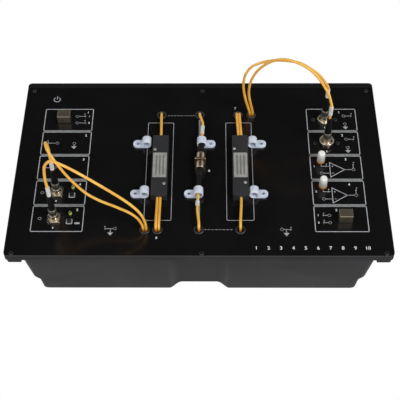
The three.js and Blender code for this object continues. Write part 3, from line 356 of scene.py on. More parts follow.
foot_radius = 9.0
foot_height = 4.8
foot_round = 0.9
screw_well_radius = 2.3
screw_well_depth = 1.2
foot_profile = [
    (pole, screw_well_depth), (screw_well_radius, screw_well_depth), (screw_well_radius, 0),
    (foot_radius - foot_round, 0), (foot_radius - foot_round * 0.3, foot_round * 0.3),
    (foot_radius, foot_round), (foot_radius, foot_height),
]
for foot in ("foot_front_left", "foot_back_left", "foot_front_right", "foot_back_right"):
    x, y, _ = middle_of(foot)
    shape = moved(turned(foot_profile), (x, y, 0))
    build(f"{foot}_pad", [shape], boot_rubber, slot="rubber", stands_for=[foot])

# Case
# One injection-moulded tub of charcoal ABS with an overhanging flange, corner blocks, a finger
# recess in front and a lowered seat for the panel. The mould was spark-eroded to a fine grain.
case_edge = 0.7
merge_distance = 1e-6
flat_angle = math.radians(0.5)


def refined(node, name, material, bevel=0.0, segments=2):
    """A merged copy of a node with its flat faces joined, so that its edges can be rounded."""
    mesh = frame["nodes"][node].data.copy()
    work = bmesh.new()
    work.from_mesh(mesh)
    bmesh.ops.remove_doubles(work, verts=work.verts, dist=merge_distance)
    bmesh.ops.dissolve_limit(work, angle_limit=flat_angle, verts=work.verts, edges=work.edges)
    work.to_mesh(mesh)
    work.free()
    piece = added(name, mesh)
    dress(piece, material, node_body[node], node_slot[node], bevel=bevel, segments=segments)
    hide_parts(node)


def rise(nodes, low, high):
    """0 up to one height of the part and 1 from another on, both in millimetres."""
    place = nodes.node("ShaderNodeTexCoord", output="Object")
    height = nodes.node("ShaderNodeSeparateXYZ", values={"Vector": place}, output="Z")
    return height.between(low * mm, high * mm)


def layered(low, high, below, above):
    """One colour up to a height, another from a second height on, and a smooth step between."""
    return lambda nodes: rise(nodes, low, high).mixed(below(nodes), above(nodes))


# From the panel seat up the case is painted near black: painted shade on the rim's top faces, which
# the flag above leaves dark.
seat_edge = 86.6
top_edge = 87.4
walls = mottled("232325", "29292B", 26, 5.0)
shaded_rim_tops = mottled("0A0A0B", "0E0E0F", 60, 4.0)
moulded_case = finish(
    "moulded_case", layered(seat_edge, top_edge, walls, shaded_rim_tops), ranging(0.52, 0.68, 900),
    grained(0.00012, 2200, 0.55, 1.5), Specular_IOR_Level=0.14,
)
refined("case_tub", "case", moulded_case, bevel=case_edge)

# Mains inlet and rocker switch
# A black snap-in inlet in the rear wall, with three plated blades in its mouth and a rocker
# beside it. The rocker is marked with a bar and a ring in white.
inlet_plastic = finish(
    "inlet_plastic", mottled("141415", "1B1B1C", 120), ranging(0.3, 0.46, 700),
    grained(0.00005, 1800, 0.3),
)
nickel_plate = finish(
    "nickel_plate", mottled("B8AE9C", "C9C1B0", 160, 4.0), ranging(0.17, 0.34, 420, 5.0),
    grained(0.00002, 900, 0.25), Metallic=1.0,
)
white_ink = finish("white_ink", mottled("DADADC", "E6E6E8", 300), ranging(0.45, 0.6, 800))


def rectangle(width, depth, radius=0.0, steps=6):
    """The outline of a rectangle about the origin whose corners are quarter arcs."""
    quarter = np.linspace(0, math.pi / 2, steps + 1) if radius else np.zeros(1)
    angle = np.concatenate([quarter + side * math.pi / 2 for side in range(4)])
    side_x = np.repeat([1, -1, -1, 1], len(quarter))
    side_y = np.repeat([1, 1, -1, -1], len(quarter))
    x = side_x * (width / 2 - radius) + radius * np.cos(angle)
    y = side_y * (depth / 2 - radius) + radius * np.sin(angle)
    return np.stack([x, y], axis=1)


def stacked(rings, closed=False):
    """A skin over outlines of as many points each, every one at its own height."""
    rings = [np.column_stack([ring, np.full(len(ring), height)]) for ring, height in rings]
    return skin(np.stack(rings), closed)


def slab(outline, low, high):
    """An outline in the XY plane pushed up from low to high."""
    return stacked([(outline, low), (outline, high)])


refined("mains_inlet", "inlet_body", inlet_plastic, bevel=0.5)
refined("mains_rocker", "rocker_cap", inlet_plastic, bevel=0.5)

inlet_low, inlet_high = ends_of("mains_inlet")
blade_width = 2.1
blade_height = 5.1
blade_root = 17.2
blade_reach = 11.1
blade_spread = 7.0
blade_drop = 2.5
mouth_inset = 18.0
mouth_x = inlet_low[0] + mouth_inset
inlet_z = (inlet_low[2] + inlet_high[2]) / 2
blades = []
for step in (-1, 0, 1):
    lift = blade_drop if step == 0 else -blade_drop
    start = (mouth_x + step * blade_spread, inlet_high[1] - blade_root, inlet_z + lift)
    shape = slab(rectangle(blade_width, blade_height, 0.4), 0, blade_reach)
    blades.append(moved(shape, start, [(1, 0, 0), (0, 0, -1), (0, 1, 0)]))
build("inlet_blades", blades, nickel_plate, slot="nickel", bevel=0.25)

rocker_swing = math.radians(8)
rocker_proud = 1.4
mark_distance = 4.9
mark_width = 0.8
mark_lift = 0.05
bar_mark_half = 2.2
ring_mark_radius = 2.1
rocker_low, rocker_high = ends_of("mains_rocker")
valley = (
    (rocker_low[0] + rocker_high[0]) / 2,
    inlet_high[1] + rocker_proud * math.cos(rocker_swing),
    inlet_z - rocker_proud * math.sin(rocker_swing),
)


def ribbon(points, width, height, closed=False):
    """A flat line along points in the XY plane. Both edges lie half the width to the side, and
    at a bend they move out to the mitre, the sum of both normals over its squared length."""
    points = np.asarray(points, float)
    ahead = np.roll(points, -1, axis=0) - points
    if not closed:
        ahead[-1] = ahead[-2]
    ahead /= np.linalg.norm(ahead, axis=1, keepdims=True)
    normal = np.stack([-ahead[:, 1], ahead[:, 0]], axis=1)
    before = np.roll(normal, 1, axis=0)
    if not closed:
        before[0] = normal[0]
    mitre = normal + before
    mitre *= width / np.sum(mitre * mitre, axis=1, keepdims=True)
    level = np.zeros((len(points), 1))
    right, left = np.hstack([points - mitre, level]), np.hstack([points + mitre, level])
    up = np.array([0, 0, height])
    return skin(np.stack([right, left, left + up, right + up], axis=1), closed)


def circle(radius, x=0.0, y=0.0, steps=36):
    """The outline of a circle: the cosines and sines of even steps round it, times the radius."""
    angle = np.linspace(0, 2 * math.pi, steps, endpoint=False)
    return np.stack([x + radius * np.cos(angle), y + radius * np.sin(angle)], axis=1)


upper_lean = 2 * rocker_swing
upper_axes = [
    (-1, 0, 0),
    (0, math.sin(upper_lean), math.cos(upper_lean)),
    (0, math.cos(upper_lean), -math.sin(upper_lean)),
]
lower_axes = [(-1, 0, 0), (0, 0, 1), (0, 1, 0)]
bar_place = np.array(valley) + mark_distance * np.array(upper_axes[1])
ring_place = np.array(valley) - mark_distance * np.array(lower_axes[1])
bar_mark = ribbon([(0, -bar_mark_half), (0, bar_mark_half)], mark_width, mark_lift)
ring_mark = ribbon(circle(ring_mark_radius), mark_width, mark_lift, closed=True)
marks = [moved(bar_mark, bar_place, upper_axes), moved(ring_mark, ring_place, lower_axes)]
build("rocker_marks", marks, white_ink, body="rocker", slot="black_plastic")

# Power supply
# A small module in a galvanised tray on the floor of the case: transformer core, smoothing
# capacitor and fuse. It is hidden once the panel is on.
supply_low, _ = ends_of("power_supply")
tray_rim = 8.2
tray_top = supply_low[2] + tray_rim
soft_step = 0.2
zinc_metallic = 0.8
zinc = mottled("8C8E8A", "B0B2AE", 90, 5.0)
winding = mottled("2E2A24", "4A4034", 260)
galvanised = finish(
    "galvanised", layered(tray_top, tray_top + soft_step, zinc, winding), ranging(0.35, 0.55, 200),
    grained(0.00003, 600, 0.3),
    Metallic=lambda nodes: zinc_metallic * (1 - rise(nodes, tray_top, tray_top + soft_step)),
)
refined("power_supply", "supply_module", galvanised, bevel=0.3)

# Main board and lamps
# A glass-fibre board under the panel, green with copper tracks, that hangs on four pillars. The
# chips and switches are black, and the two lamps reach up through the panel.
_, board_high = ends_of("main_board")
_, panel_high = ends_of("front_panel")
panel_top = panel_high[2]
board_depth = 12.3
board_top = panel_top - board_depth
track_pitch = 260.0
lamp_radius = 1.85
lamp_x = -142.4
lamp_rows = (-34.8, -71.3)
lamp_round = 2.0


def board_color(nodes):
    """Dark green, and a lighter green on tracks: the edges of square cells, a little frayed."""
    place = nodes.node("ShaderNodeTexCoord", output="Object")
    tracks = nodes.node(
        "ShaderNodeTexVoronoi",
        {"feature": "DISTANCE_TO_EDGE", "distance": "MANHATTAN"},
        {"Vector": place, "Scale": track_pitch},
    )
    mask = cloud(nodes, 900)
    return (tracks + 0.05 * mask).between(0.05, 0.12).mixed(tone("3F8A4E"), tone("1C5A32"))


chips = mottled("151516", "232324", 400)
board_finish = finish(
    "board_finish", layered(board_top, board_top + soft_step, board_color, chips),
    ranging(0.35, 0.55, 300), grained(0.00004, 800, 0.4),
)
refined("main_board", "circuit_board", board_finish)

lamp_lens = finish(
    "lamp_lens", mottled("C2BC2C", "E2DC54", 500), ranging(0.12, 0.22, 600),
    grained(0.00001, 900, 0.2), Subsurface_Weight=0.3, Coat_Weight=ranging(0.5, 0.8, 300),
)
lamp_height = board_high[2] - panel_top
lamp_profile = [
    (pole, -3.0), (lamp_radius, -3.0), (lamp_radius, lamp_height - lamp_round),
    (lamp_radius * 0.94, lamp_height - lamp_round * 0.78),
    (lamp_radius * 0.76, lamp_height - lamp_round * 0.48),
    (lamp_radius * 0.48, lamp_height - lamp_round * 0.2),
    (lamp_radius * 0.22, lamp_height - lamp_round * 0.04), (pole, lamp_height),
]
for index, y in enumerate(lamp_rows, 1):
    dome = moved(turned(lamp_profile), (lamp_x, y, panel_top))
    build(f"lamp_lens_{index}", [dome], lamp_lens, slot="board", sharp=60)

# Front panel and its print
# A 2 mm sheet of black laminate with a polished face, screen-printed with pale lines: two
# columns of five blocks, two long boxes for the couplers, and symbols for circuits.
print_lift = 0.06
panel_face = finish(
    "panel_face", mottled("101011", "131314", 18, 5.0), ranging(0.17, 0.24, 40, 6.0),
    grained(0.000015, 60, 0.25), Specular_IOR_Level=0.38,
)
panel_mesh = frame["nodes"]["front_panel"].data
panel_mesh.materials.clear()
panel_mesh.materials.append(panel_face)

pale_print = finish(
    "pale_print", mottled("A6A6AC", "C2C2C8", 240, 4.0), ranging(0.4, 0.6, 600),
    grained(0.00001, 1500, 0.3),
)
grey_print = finish(
    "grey_print", mottled("848985", "969B97", 240, 4.0), ranging(0.4, 0.6, 600),
    grained(0.00001, 1500, 0.3),
)

block_left = (-184.3, -127.6)
block_right = (127.2, 185.4)
block_tops = (84.7, 48.2, 11.4, -25.4, -61.2)
block_bottoms = (50.7, 14.2, -22.3, -58.6, -95.5)
block_line = 0.9
block_corner = 1.3
coupler_print = [(-60.7, -30.8), (30.7, 60.7)]
coupler_print_front = -80.4
coupler_print_back = 62.8
thin_line = 0.55
ring_radius = 1.7
ring_line = 0.34
arrow_half = 3.3
arrow_height = 4.2
arrow_notch = 1.6


def box_line(x_low, x_high, y_low, y_high, width):
    """The printed outline of a box with rounded corners."""
    outline = rectangle(x_high - x_low, y_high - y_low, block_corner)
    outline += ((x_low + x_high) / 2, (y_low + y_high) / 2)
    return ribbon(outline, width, print_lift, closed=True)


def ground_mark(x, top, tip):
    """An earth symbol: a stem, and a broad arrow whose wings are drawn back."""
    wing = tip + arrow_height
    half = [(arrow_half, wing), (0.9, wing - 0.6), (0.6, wing + arrow_notch)]
    arrow = [(x, tip), *((x + out, y) for out, y in half), *((x - out, y) for out, y in half[::-1])]
    stem = ribbon([(x, top), (x, wing)], thin_line, print_lift)
    return [slab(arrow, 0, print_lift), stem]


def printed_ring(x, y):
    """A printed ring."""
    return ribbon(circle(ring_radius, x, y), ring_line, print_lift, closed=True)


def printed_line(*points, width=thin_line):
    """A printed line through points."""
    return ribbon(points, width, print_lift)


lines = []
bands = []
for x_low, x_high in (block_left, block_right):
    for top, bottom in zip(block_tops, block_bottoms):
        lines.append(box_line(x_low, x_high, bottom, top, block_line))
    for above, below in zip(block_bottoms[:-1], block_tops[1:]):
        middle = (above + below) / 2
        ends = [(x_low + block_corner / 2, middle), (x_high - block_corner / 2, middle)]
        bands.append(ribbon(ends, above - below, print_lift))
for x_low, x_high in coupler_print:
    lines.append(box_line(x_low, x_high, coupler_print_front, coupler_print_back, thin_line))

link_line_x = -0.1
for low, high in ((40.8, 67.6), (-85.4, -59.2)):
    bands.append(printed_line((link_line_x, low), (link_line_x, high), width=2.0))

dash_rows = [(74.3, -38.1, -5.0), (-92.9, 1.0, 38.1)]
dash_count = 9
dash_share = 0.72
dash_width = 0.4
for y, x_low, x_high in dash_rows:
    pitch = (x_high - x_low) / dash_count
    for step in range(dash_count):
        start = x_low + step * pitch
        end = start + pitch * dash_share
        lines.append(printed_line((start, y), (end, y), width=dash_width))

power_x = -172.9
power_y = 100.6
power_radius = 3.7
power_gap = math.radians(38)
power_line = 0.9
power_stroke = [(power_x, power_y + 0.5), (power_x, power_y + 5.4)]
arc = np.linspace(math.pi / 2 + power_gap, math.pi * 2.5 - power_gap, 40)
power_arc = np.stack([np.cos(arc), np.sin(arc)], axis=1) * power_radius + (power_x, power_y)
lines.append(printed_line(*power_arc, width=power_line))
lines.append(printed_line(*power_stroke, width=power_line))

ring_places = [
    (-146.3, 73.3), (-145.5, 62.9), (-166.1, 31.3), (-146.4, 30.9), (-165.7, -5.2), (-176.4, -42.0),
    (-175.6, -78.0), (-92.0, -91.4), (90.7, -92.5), (171.1, 73.8), (171.9, 61.2), (171.2, 37.2),
    (172.0, 24.7), (143.6, -73.4), (143.8, -83.4),
]
level_strokes = [
    (-144.8, -137.6, 73.3), (-144.0, -136.8, 62.9), (-175.7, -167.6, 31.3), (-175.1, -167.2, -5.7),
    (-102.5, -93.5, -91.7), (92.2, 100.2, -92.7), (172.6, 179.6, 73.8), (172.7, 179.5, 37.2),
    (137.4, 141.9, -73.4), (137.3, 142.1, -83.4),
]
ground_places = [
    (-146.4, 29.2, 22.4), (-96.6, -91.7, -100.8), (95.4, -92.7, -101.4), (171.9, 59.5, 52.8),
    (172.0, 23.0, 16.4),
]
lines += [printed_ring(x, y) for x, y in ring_places]
lines += [printed_line((start, y), (end, y)) for start, end, y in level_strokes]
for place in ground_places:
    lines += ground_mark(*place)

amplifier_tops = (1.9, -35.0)
amplifier_left = 149.2
amplifier_height = 21.3
amplifier_reach = 16.6
amplifier_tip_rise = 0.3
amplifier_line = 0.8
plus_drop = 5.4
minus_drop = 15.6
input_x = 139.3
output_x = 175.9
ring_gap = 1.5
sign_x = 152.2
sign_half = 1.0
for top in amplifier_tops:
    plus_y, minus_y = top - plus_drop, top - minus_drop
    tip_x = amplifier_left + amplifier_reach
    tip_y = top - amplifier_height / 2 + amplifier_tip_rise
    triangle = [(amplifier_left, top - amplifier_height), (tip_x, tip_y), (amplifier_left, top)]
    lines.append(ribbon(triangle, amplifier_line, print_lift, closed=True))
    strokes = [
        [(input_x, top - 3.0), (input_x, plus_y), (amplifier_left, plus_y)],
        [(input_x + ring_gap, minus_y), (amplifier_left, minus_y)],
        [(sign_x - sign_half, plus_y), (sign_x + sign_half, plus_y)],
        [(sign_x, plus_y - sign_half), (sign_x, plus_y + sign_half)],
        [(sign_x - sign_half, minus_y), (sign_x + sign_half + 0.2, minus_y)],
        [(tip_x, tip_y), (output_x - ring_gap, tip_y)],
        [(output_x, tip_y + ring_gap), (output_x, top - 3.2)],
    ]
    lines += [printed_line(*points) for points in strokes]
    lines += [printed_ring(input_x, minus_y), printed_ring(output_x, tip_y)]


def printed(name, shapes, ink):
    """A printed piece on the panel's face."""
    build(name, [moved(shape, (0, 0, panel_top)) for shape in shapes], ink, slot="panel")


printed("panel_lines", lines, pale_print)
printed("panel_bands", bands, grey_print)

letter_weight = 0.12


def lettered(text, x, y, size):
    """Numbers or signs as thin raised letters, centred on a place."""
    letters = bpy.data.curves.new("letters", "FONT")
    letters.body = text
    letters.size = size
    letters.align_x = "CENTER"
    letters.align_y = "CENTER"
    letters.offset = letter_weight
    letters.extrude = print_lift / 2
    letters.resolution_u = 4
    holder = added("letters", letters)
    bpy.context.view_layer.update()
    shown = holder.evaluated_get(bpy.context.evaluated_depsgraph_get())
    mesh = bpy.data.meshes.new_from_object(shown)
    points = np.empty(len(mesh.vertices) * 3)
    mesh.vertices.foreach_get("co", points)
    faces = [list(face.vertices) for face in mesh.polygons]
    bpy.data.objects.remove(holder)
    bpy.data.meshes.remove(mesh)
    return points.reshape(-1, 3) + (x, y, print_lift / 2), faces


title_size = 4.4
small_size = 3.4
numerals = [
    ("1", -133.6, 79.4, title_size), ("2", -133.6, 43.2, title_size),
    ("3", -133.6, 6.4, title_size), ("4", -135.0, -30.2, title_size),
    ("5", -135.0, -66.2, title_size), ("1", 166.0, 79.6, title_size),
    ("2", 167.0, 43.1, title_size), ("3", 168.0, 6.6, title_size), ("4", 169.0, -30.2, title_size),
    ("5", 152.0, -66.4, title_size), ("4", -160.0, -53.8, small_size),
    ("5", -160.0, -90.7, small_size), ("ON", -134.0, -84.5, small_size),
    ("1", 147.3, 55.2, small_size), ("2", 147.3, 18.6, small_size), ("1", 131.4, -3.7, small_size),
    ("2", 131.4, -40.4, small_size), ("1", 131.4, -73.4, small_size),
    ("2", 131.4, -83.4, small_size), ("1", -131.6, 73.3, small_size),
    ("2", -131.6, 62.9, small_size), ("6", -46.2, -103.8, title_size),
    ("7", 42.3, 85.8, title_size), ("8", 11.0, -10.5, title_size),
]
title_y = -117.3
title_left = 62.0
title_right = 182.0
title_height = 6.0
title_pitch = (title_right - title_left) / 9
numerals += [(str(i + 1), title_left + title_pitch * i, title_y, title_height) for i in range(10)]
printed("panel_numerals", [lettered(*row) for row in numerals], white_ink)

# Panel screws
# Six pan-head screws of blackened steel hold the panel down on the case's bosses. A cross recess
# is pressed into each head.
screw_columns = (-201.5, 3.1, 201.5)
screw_rows = (-124.7, 114.2)
screw_radius = 2.5
screw_height = 1.5
blackened_steel = finish(
    "blackened_steel", mottled("1F1F21", "2A2A2C", 300), ranging(0.28, 0.45, 500),
    grained(0.00001, 1500, 0.3), Metallic=0.6,
)


def sunk(shape, depth, half_width, reach, above, quarters=(0, 1)):
    """Sinks a slot into what lies above a height: points move down by the depth where they are
    within the half width of its middle line and within its reach, with a soft edge between."""
    points, faces = shape
    soft = half_width * 0.5
    x, y, z = points.T
    share = np.zeros(len(points))
    for quarter in quarters:
        along, beside = (x, y) if quarter == 0 else (y, x)
        inside = np.clip((half_width - np.abs(beside)) / soft + 0.5, 0, 1)
        inside *= np.clip((reach - np.abs(along)) / soft + 0.5, 0, 1)
        share = np.maximum(share, inside)
    lowered = z - depth * share * (z > above)
    return np.stack([x, y, lowered], axis=1), faces


def screw_head(radius, height):
    """A pan head: its face falls with the fourth power of the radius to 55 % of the height, and
    a cross is sunk into it."""
    share = np.linspace(1, 0.02, 16)
    face = np.stack([radius * share, height * (1 - 0.45 * share**4)], axis=1)
    profile = np.vstack([[(radius * 0.98, 0)], [(radius, height * 0.3)], face])
    return sunk(turned(profile, 48), height * 0.5, radius * 0.14, radius * 0.56, height * 0.6)


screw_places = [(x, y, panel_top) for x in screw_columns for y in screw_rows]
heads = [moved(screw_head(screw_radius, screw_height), place) for place in screw_places]
build("panel_screws", heads, blackened_steel, slot="nickel", sharp=40)

# Grommets
# Eight rings of moulded black rubber through which the fibres pass. Each is pressed into a hole
# of the panel, and its groove grips the edge from both sides.
grommet_flange = 5.7
grommet_neck = 4.7
grommet_bore = 3.4
grommet_lip = 1.4
panel_thickness = 2.0
grommet_rubber = finish(
    "grommet_rubber", mottled("121213", "1A1A1B", 220), ranging(0.3, 0.42, 500),
    grained(0.00003, 1400, 0.3), Specular_IOR_Level=0.6,
)
grommet_profile = [
    (grommet_bore, -panel_thickness - grommet_lip + 0.4),
    (grommet_bore + 0.4, -panel_thickness - grommet_lip),
    (grommet_flange - 0.4, -panel_thickness - grommet_lip),
    (grommet_flange, -panel_thickness - grommet_lip + 0.4), (grommet_flange, -panel_thickness),
    (grommet_neck, -panel_thickness), (grommet_neck, 0), (grommet_flange, 0), (grommet_flange, 0.6),
    (grommet_flange - 0.2, 1.05), (grommet_flange - 0.6, 1.32), (grommet_flange - 1.1, grommet_lip),
    (grommet_bore + 0.5, grommet_lip - 0.05), (grommet_bore + 0.1, grommet_lip - 0.3),
    (grommet_bore, grommet_lip - 0.8),
]
for node in node_body:
    if node.startswith("grommet_"):
        x, y, _ = middle_of(node)
        shape = moved(turned(grommet_profile, closed=True), (x, y, panel_top))
        build(f"{node}_ring", [shape], grommet_rubber, slot="rubber", stands_for=[node], sharp=50)

# Data sockets
# Two square sockets of folded and tinned steel on the panel, open to the left and to the right,
# each with a tongue of black plastic that carries the contacts.
tinned_steel = finish(
    "tinned_steel", mottled("A09480", "B4A793", 130, 4.0), ranging(0.32, 0.42, 420, 5.0),
    grained(0.00002, 700, 0.35), Metallic=1.0,
)
tongue_width = 7.1
tongue_depth = 3.5
tongue_height = 5.7
tongue_reach = 2.8
for side, node in ((-1, "usb_socket_left"), (1, "usb_socket_right")):
    refined(node, f"{node}_shell", tinned_steel, bevel=0.45, segments=3)
    x, y, z = middle_of(node)
    outline = rectangle(tongue_width, tongue_depth, 0.3)
    tongue = slab(outline, -tongue_height / 2, tongue_height / 2)
    place = (x + side * (tongue_reach - tongue_width / 2), y, z)
    build(f"{node}_tongue", [moved(tongue, place)], inlet_plastic, slot="black_plastic", bevel=0.2)

# Receptacles
# Threaded nickel barrels on a smooth stem and a flange, with the optical module behind the
# panel: square flanges at the sources, and round dished ones with two black screws beside
# them at the detectors. The second detector's dish stands higher, on a narrower foot.
source_place = [(-160.0, -41.5), (-160.0, -78.0)]
detector_place = [(147.7, 67.4), (147.7, 30.9)]
dish_lift = [0.0, 3.6]
stem_lift = [0.0, 1.2]
module_radius = 4.3
module_depth = 11.0
barrel_radius = 3.3
thread_depth = 0.25
thread_pitch = 0.75
barrel_top = 14.8
barrel_bore = 2.4
bore_floor = 8.4
stem_radius = 4.9
stem_top = 9.0
flange_width = 14.0
flange_corner = 2.0
flange_thickness = 1.8
detector_screw_spread = 13.0
detector_screw_radius = 2.4
detector_screw_height = 1.2
satin_nickel = finish(
    "satin_nickel", mottled("AFA593", "CBC1AE", 160, 4.0), ranging(0.2, 0.32, 420, 5.0),
    grained(0.00002, 900, 0.25), Metallic=1.0,
)


def threaded(low, high):
    """The zigzag outline of a thread: its radius dips half way along every pitch."""
    count = int((high - low) / thread_pitch)
    step = np.arange(2 * count + 1)
    radius = barrel_radius - thread_depth * (step % 2)
    return [tuple(row) for row in np.stack([radius, low + step * thread_pitch / 2], axis=1)]


def barrel_profile(low):
    """From the stem's foot, over the thread, to the bottom of the bore."""
    return [
        (stem_radius, low), (stem_radius, stem_top - 0.5), (stem_radius - 0.15, stem_top - 0.15),
        (stem_radius - 0.5, stem_top), *threaded(stem_top, barrel_top - 0.3),
        (barrel_radius - 0.3, barrel_top), (barrel_bore, barrel_top), (barrel_bore, bore_floor),
        (pole, bore_floor),
    ]


seat_radius = 6.3
seat_profile = [
    (pole, 1.0), (seat_radius, 1.0), (seat_radius, flange_thickness + 0.3),
    (seat_radius - 0.2, flange_thickness + 0.5), (seat_radius - 0.5, flange_thickness + 0.4),
    (seat_radius - 0.9, flange_thickness + 0.15),
]
for index, (x, y) in enumerate(source_place, 1):
    flange = slab(rectangle(flange_width, flange_width, flange_corner), 0, flange_thickness)
    module = turned([(pole, -module_depth), (module_radius, -module_depth), (module_radius, 0.2)])
    barrel = turned([*seat_profile, *barrel_profile(flange_thickness + 0.1)], 48)
    shapes = [moved(shape, (x, y, panel_top)) for shape in (flange, module, barrel)]
    node = f"source_receptacle_{index}"
    build(
        f"{node}_flange", shapes, satin_nickel, slot="nickel", stands_for=[node], bevel=0.5,
        segments=3,
    )

dish_outer = 8.4
dish_foot = 6.4
dish_profile = [
    (dish_outer - 0.3, 0), (dish_outer, 0.3), (dish_outer, 2.3), (dish_outer - 0.15, 2.75),
    (dish_outer - 0.45, 3.08), (dish_outer - 0.8, 3.2), (dish_outer - 1.2, 3.15),
    (dish_outer - 1.6, 2.8), (dish_outer - 2.0, 2.3),
]
dish_floor = 2.0
dish_square_power = 3.0
dish_square_from = 5.2


def dish_on_foot(raised, lifted):
    """The module, a foot up to the raised dish, and the barrel on its own lifted stem."""
    module = [(pole, -module_depth), (module_radius, -module_depth), (module_radius, 0)]
    foot = [(dish_foot, 0), (dish_foot, raised)] if raised > 0 else []
    dish = [(radius, height + raised) for radius, height in dish_profile]
    floor_ring = (dish_outer - 2.4, dish_floor + raised)
    stem_ring = (stem_radius, dish_floor + raised)
    barrel = [(radius, height + lifted) for radius, height in barrel_profile(dish_floor)[1:]]
    return [*module, *foot, *dish, floor_ring, stem_ring, *barrel]


def squared(shape, beyond):
    """Draws a lathed flange towards a rounded square with its corners on the axes: beyond a
    radius, r is divided by the root of the summed powers of |cos| and |sin| of a turned angle."""
    points, faces = shape
    x, y, z = points.T
    radius = np.hypot(x, y)
    angle = np.arctan2(y, x) + math.pi / 4
    powers = np.abs(np.cos(angle)) ** dish_square_power + np.abs(np.sin(angle)) ** dish_square_power
    norm = powers ** (1 / dish_square_power)
    least = 2 ** (1 / dish_square_power - 0.5)
    share = np.clip((radius - beyond) / 1.5, 0, 1)
    factor = 1 + share * (least / norm - 1)
    return np.stack([x * factor, y * factor, z], axis=1), faces


for index, (x, y) in enumerate(detector_place, 1):
    dish = turned(dish_on_foot(dish_lift[index - 1], stem_lift[index - 1]), 64)
    if index == 1:
        dish = squared(dish, dish_square_from)
    node = f"detector_receptacle_{index}"
    dish = moved(dish, (x, y, panel_top))
    build(f"{node}_dish", [dish], satin_nickel, slot="nickel", stands_for=[node])
    head = screw_head(detector_screw_radius, detector_screw_height)
    spread = (-detector_screw_spread, detector_screw_spread)
    heads = [moved(head, (x + away, y, panel_top)) for away in spread]
    build(f"detector_screws_{index}", heads, blackened_steel, slot="nickel", sharp=40)

# Free fibres and their plugs
# Four stretches of 3 mm jacketed fibre that spring in stiff loops from the grommets to plugs
# on the receptacles. Each plug has a nickel body, a tapered boot and a pale marker sleeve.
fibre_radius = 1.5
# The jacket is painted a deeper orange up to a few millimetres above the panel: painted shade where
# the fibres dive into the grommets and hang under the panel.
shade_low = panel_top + 1.0
shade_high = panel_top + 5.5
painted_shade_amber = mottled("C06F1C", "CC7C26", 70, 4.0)
amber = mottled("F2A93C", "FBBD50", 70, 4.0)
fibre_jacket = finish(
    "fibre_jacket", layered(shade_low, shade_high, painted_shade_amber, amber), ranging(0.34, 0.48, 300),
    grained(0.00003, 900, 0.3), Subsurface_Weight=0.12,
)
marker_sleeve = finish(
    "marker_sleeve", mottled("C9C6C0", "E2DFD9", 420, 5.0), ranging(0.4, 0.6, 500),
    grained(0.00005, 700, 0.35),
)
nose_low = 8.7
ferrule_radius = 1.25
ferrule_high = 11.2
tail_radius = 2.1
shoulder_low = 15.1
shoulder_high = 16.2
shoulder_radius = 3.3
neck_radius = 2.8
collar_low = 18.7
sleeve_radius = 2.3
sleeve_bore = 1.56
tip_hollow = 1.5
panel_boot = {"base": 4.0, "tip": 2.6, "collar": 0.0, "rim": 4.0}
source_plug = {**panel_boot, "boot": 22.4, "gap": 0.0, "sleeve": 14.2}
close_plug = {**panel_boot, "boot": 21.0, "gap": 0.0, "sleeve": 12.6}
spaced_plug = {**panel_boot, "boot": 24.0, "gap": 5.5, "sleeve": 13.0}


def plug_reach(form):
    """How far a plug reaches along its axis, up to the start of its fibre."""
    return collar_low + form["collar"] + form["boot"] + form["gap"] + form["sleeve"] + 0.3


def build_plug(name, form, place, axes=None):
    """A plug from its neck to its marker sleeve. The boot's radius falls along its length from
    base to tip, a little faster at first, and its tip is hollow round the fibre."""
    boot_base, boot_tip = form["base"], form["tip"]
    boot_low = collar_low + form["collar"]
    boot_high = boot_low + form["boot"]
    sleeve_low = boot_high + form["gap"]
    sleeve_high = sleeve_low + form["sleeve"] + 0.3
    along = np.linspace(0, 1, 13)
    fall = boot_base + (boot_tip - boot_base) * along**0.85
    taper = np.stack([fall, boot_low + form["boot"] * along], axis=1)
    taper[-1] = (boot_tip - 0.25, boot_high)
    taper[-2] = (fall[-2], boot_high - 0.5)
    collar = [(boot_base - 0.3, collar_low), (boot_base, collar_low + 0.3)]
    if form["collar"] > 0:
        collar += [
            (form["rim"] - 0.1, boot_low - 0.9),
            (form["rim"], boot_low - 0.5),
            (form["rim"] - 0.2, boot_low - 0.1),
            (form["rim"] - 0.5, boot_low),
        ]
    hollow_low = boot_high - tip_hollow
    hollow = [(sleeve_bore, boot_high), (sleeve_bore, hollow_low), (pole, hollow_low)]
    boot = turned([(pole, collar_low), *collar, *taper[1:], *hollow])
    body = turned(
        [
            (pole, nose_low), (ferrule_radius, nose_low), (ferrule_radius, ferrule_high),
            (tail_radius, ferrule_high), (tail_radius, shoulder_low),
            (shoulder_radius, shoulder_low), (shoulder_radius, shoulder_high),
            (neck_radius, shoulder_high), (neck_radius, collar_low + 0.2), (pole, collar_low + 0.2),
        ]
    )
    sleeve = turned(
        [
            (sleeve_bore, sleeve_low), (sleeve_radius - 0.2, sleeve_low),
            (sleeve_radius, sleeve_low + 0.3), (sleeve_radius, sleeve_high - 0.3),
            (sleeve_radius - 0.2, sleeve_high), (sleeve_bore, sleeve_high),
        ],
        closed=True,
    )
    core_high = sleeve_high - 0.3
    core_edge = [(fibre_radius, hollow_low), (fibre_radius, core_high)]
    core = turned([(pole, hollow_low), *core_edge, (pole, core_high)], 14)
    shapes = (boot, body, sleeve, core)
    boot, body, sleeve, core = ([moved(shape, place, axes)] for shape in shapes)
    return [
        build(f"{name}_boot", boot, boot_rubber, slot="rubber", stands_for=[name]),
        build(f"{name}_body", body, nickel_plate, slot="nickel"),
        build(f"{name}_sleeve", sleeve, marker_sleeve, slot="nylon"),
        build(f"{name}_core", core, fibre_jacket, slot="fibre_jacket", sharp=60),
    ]


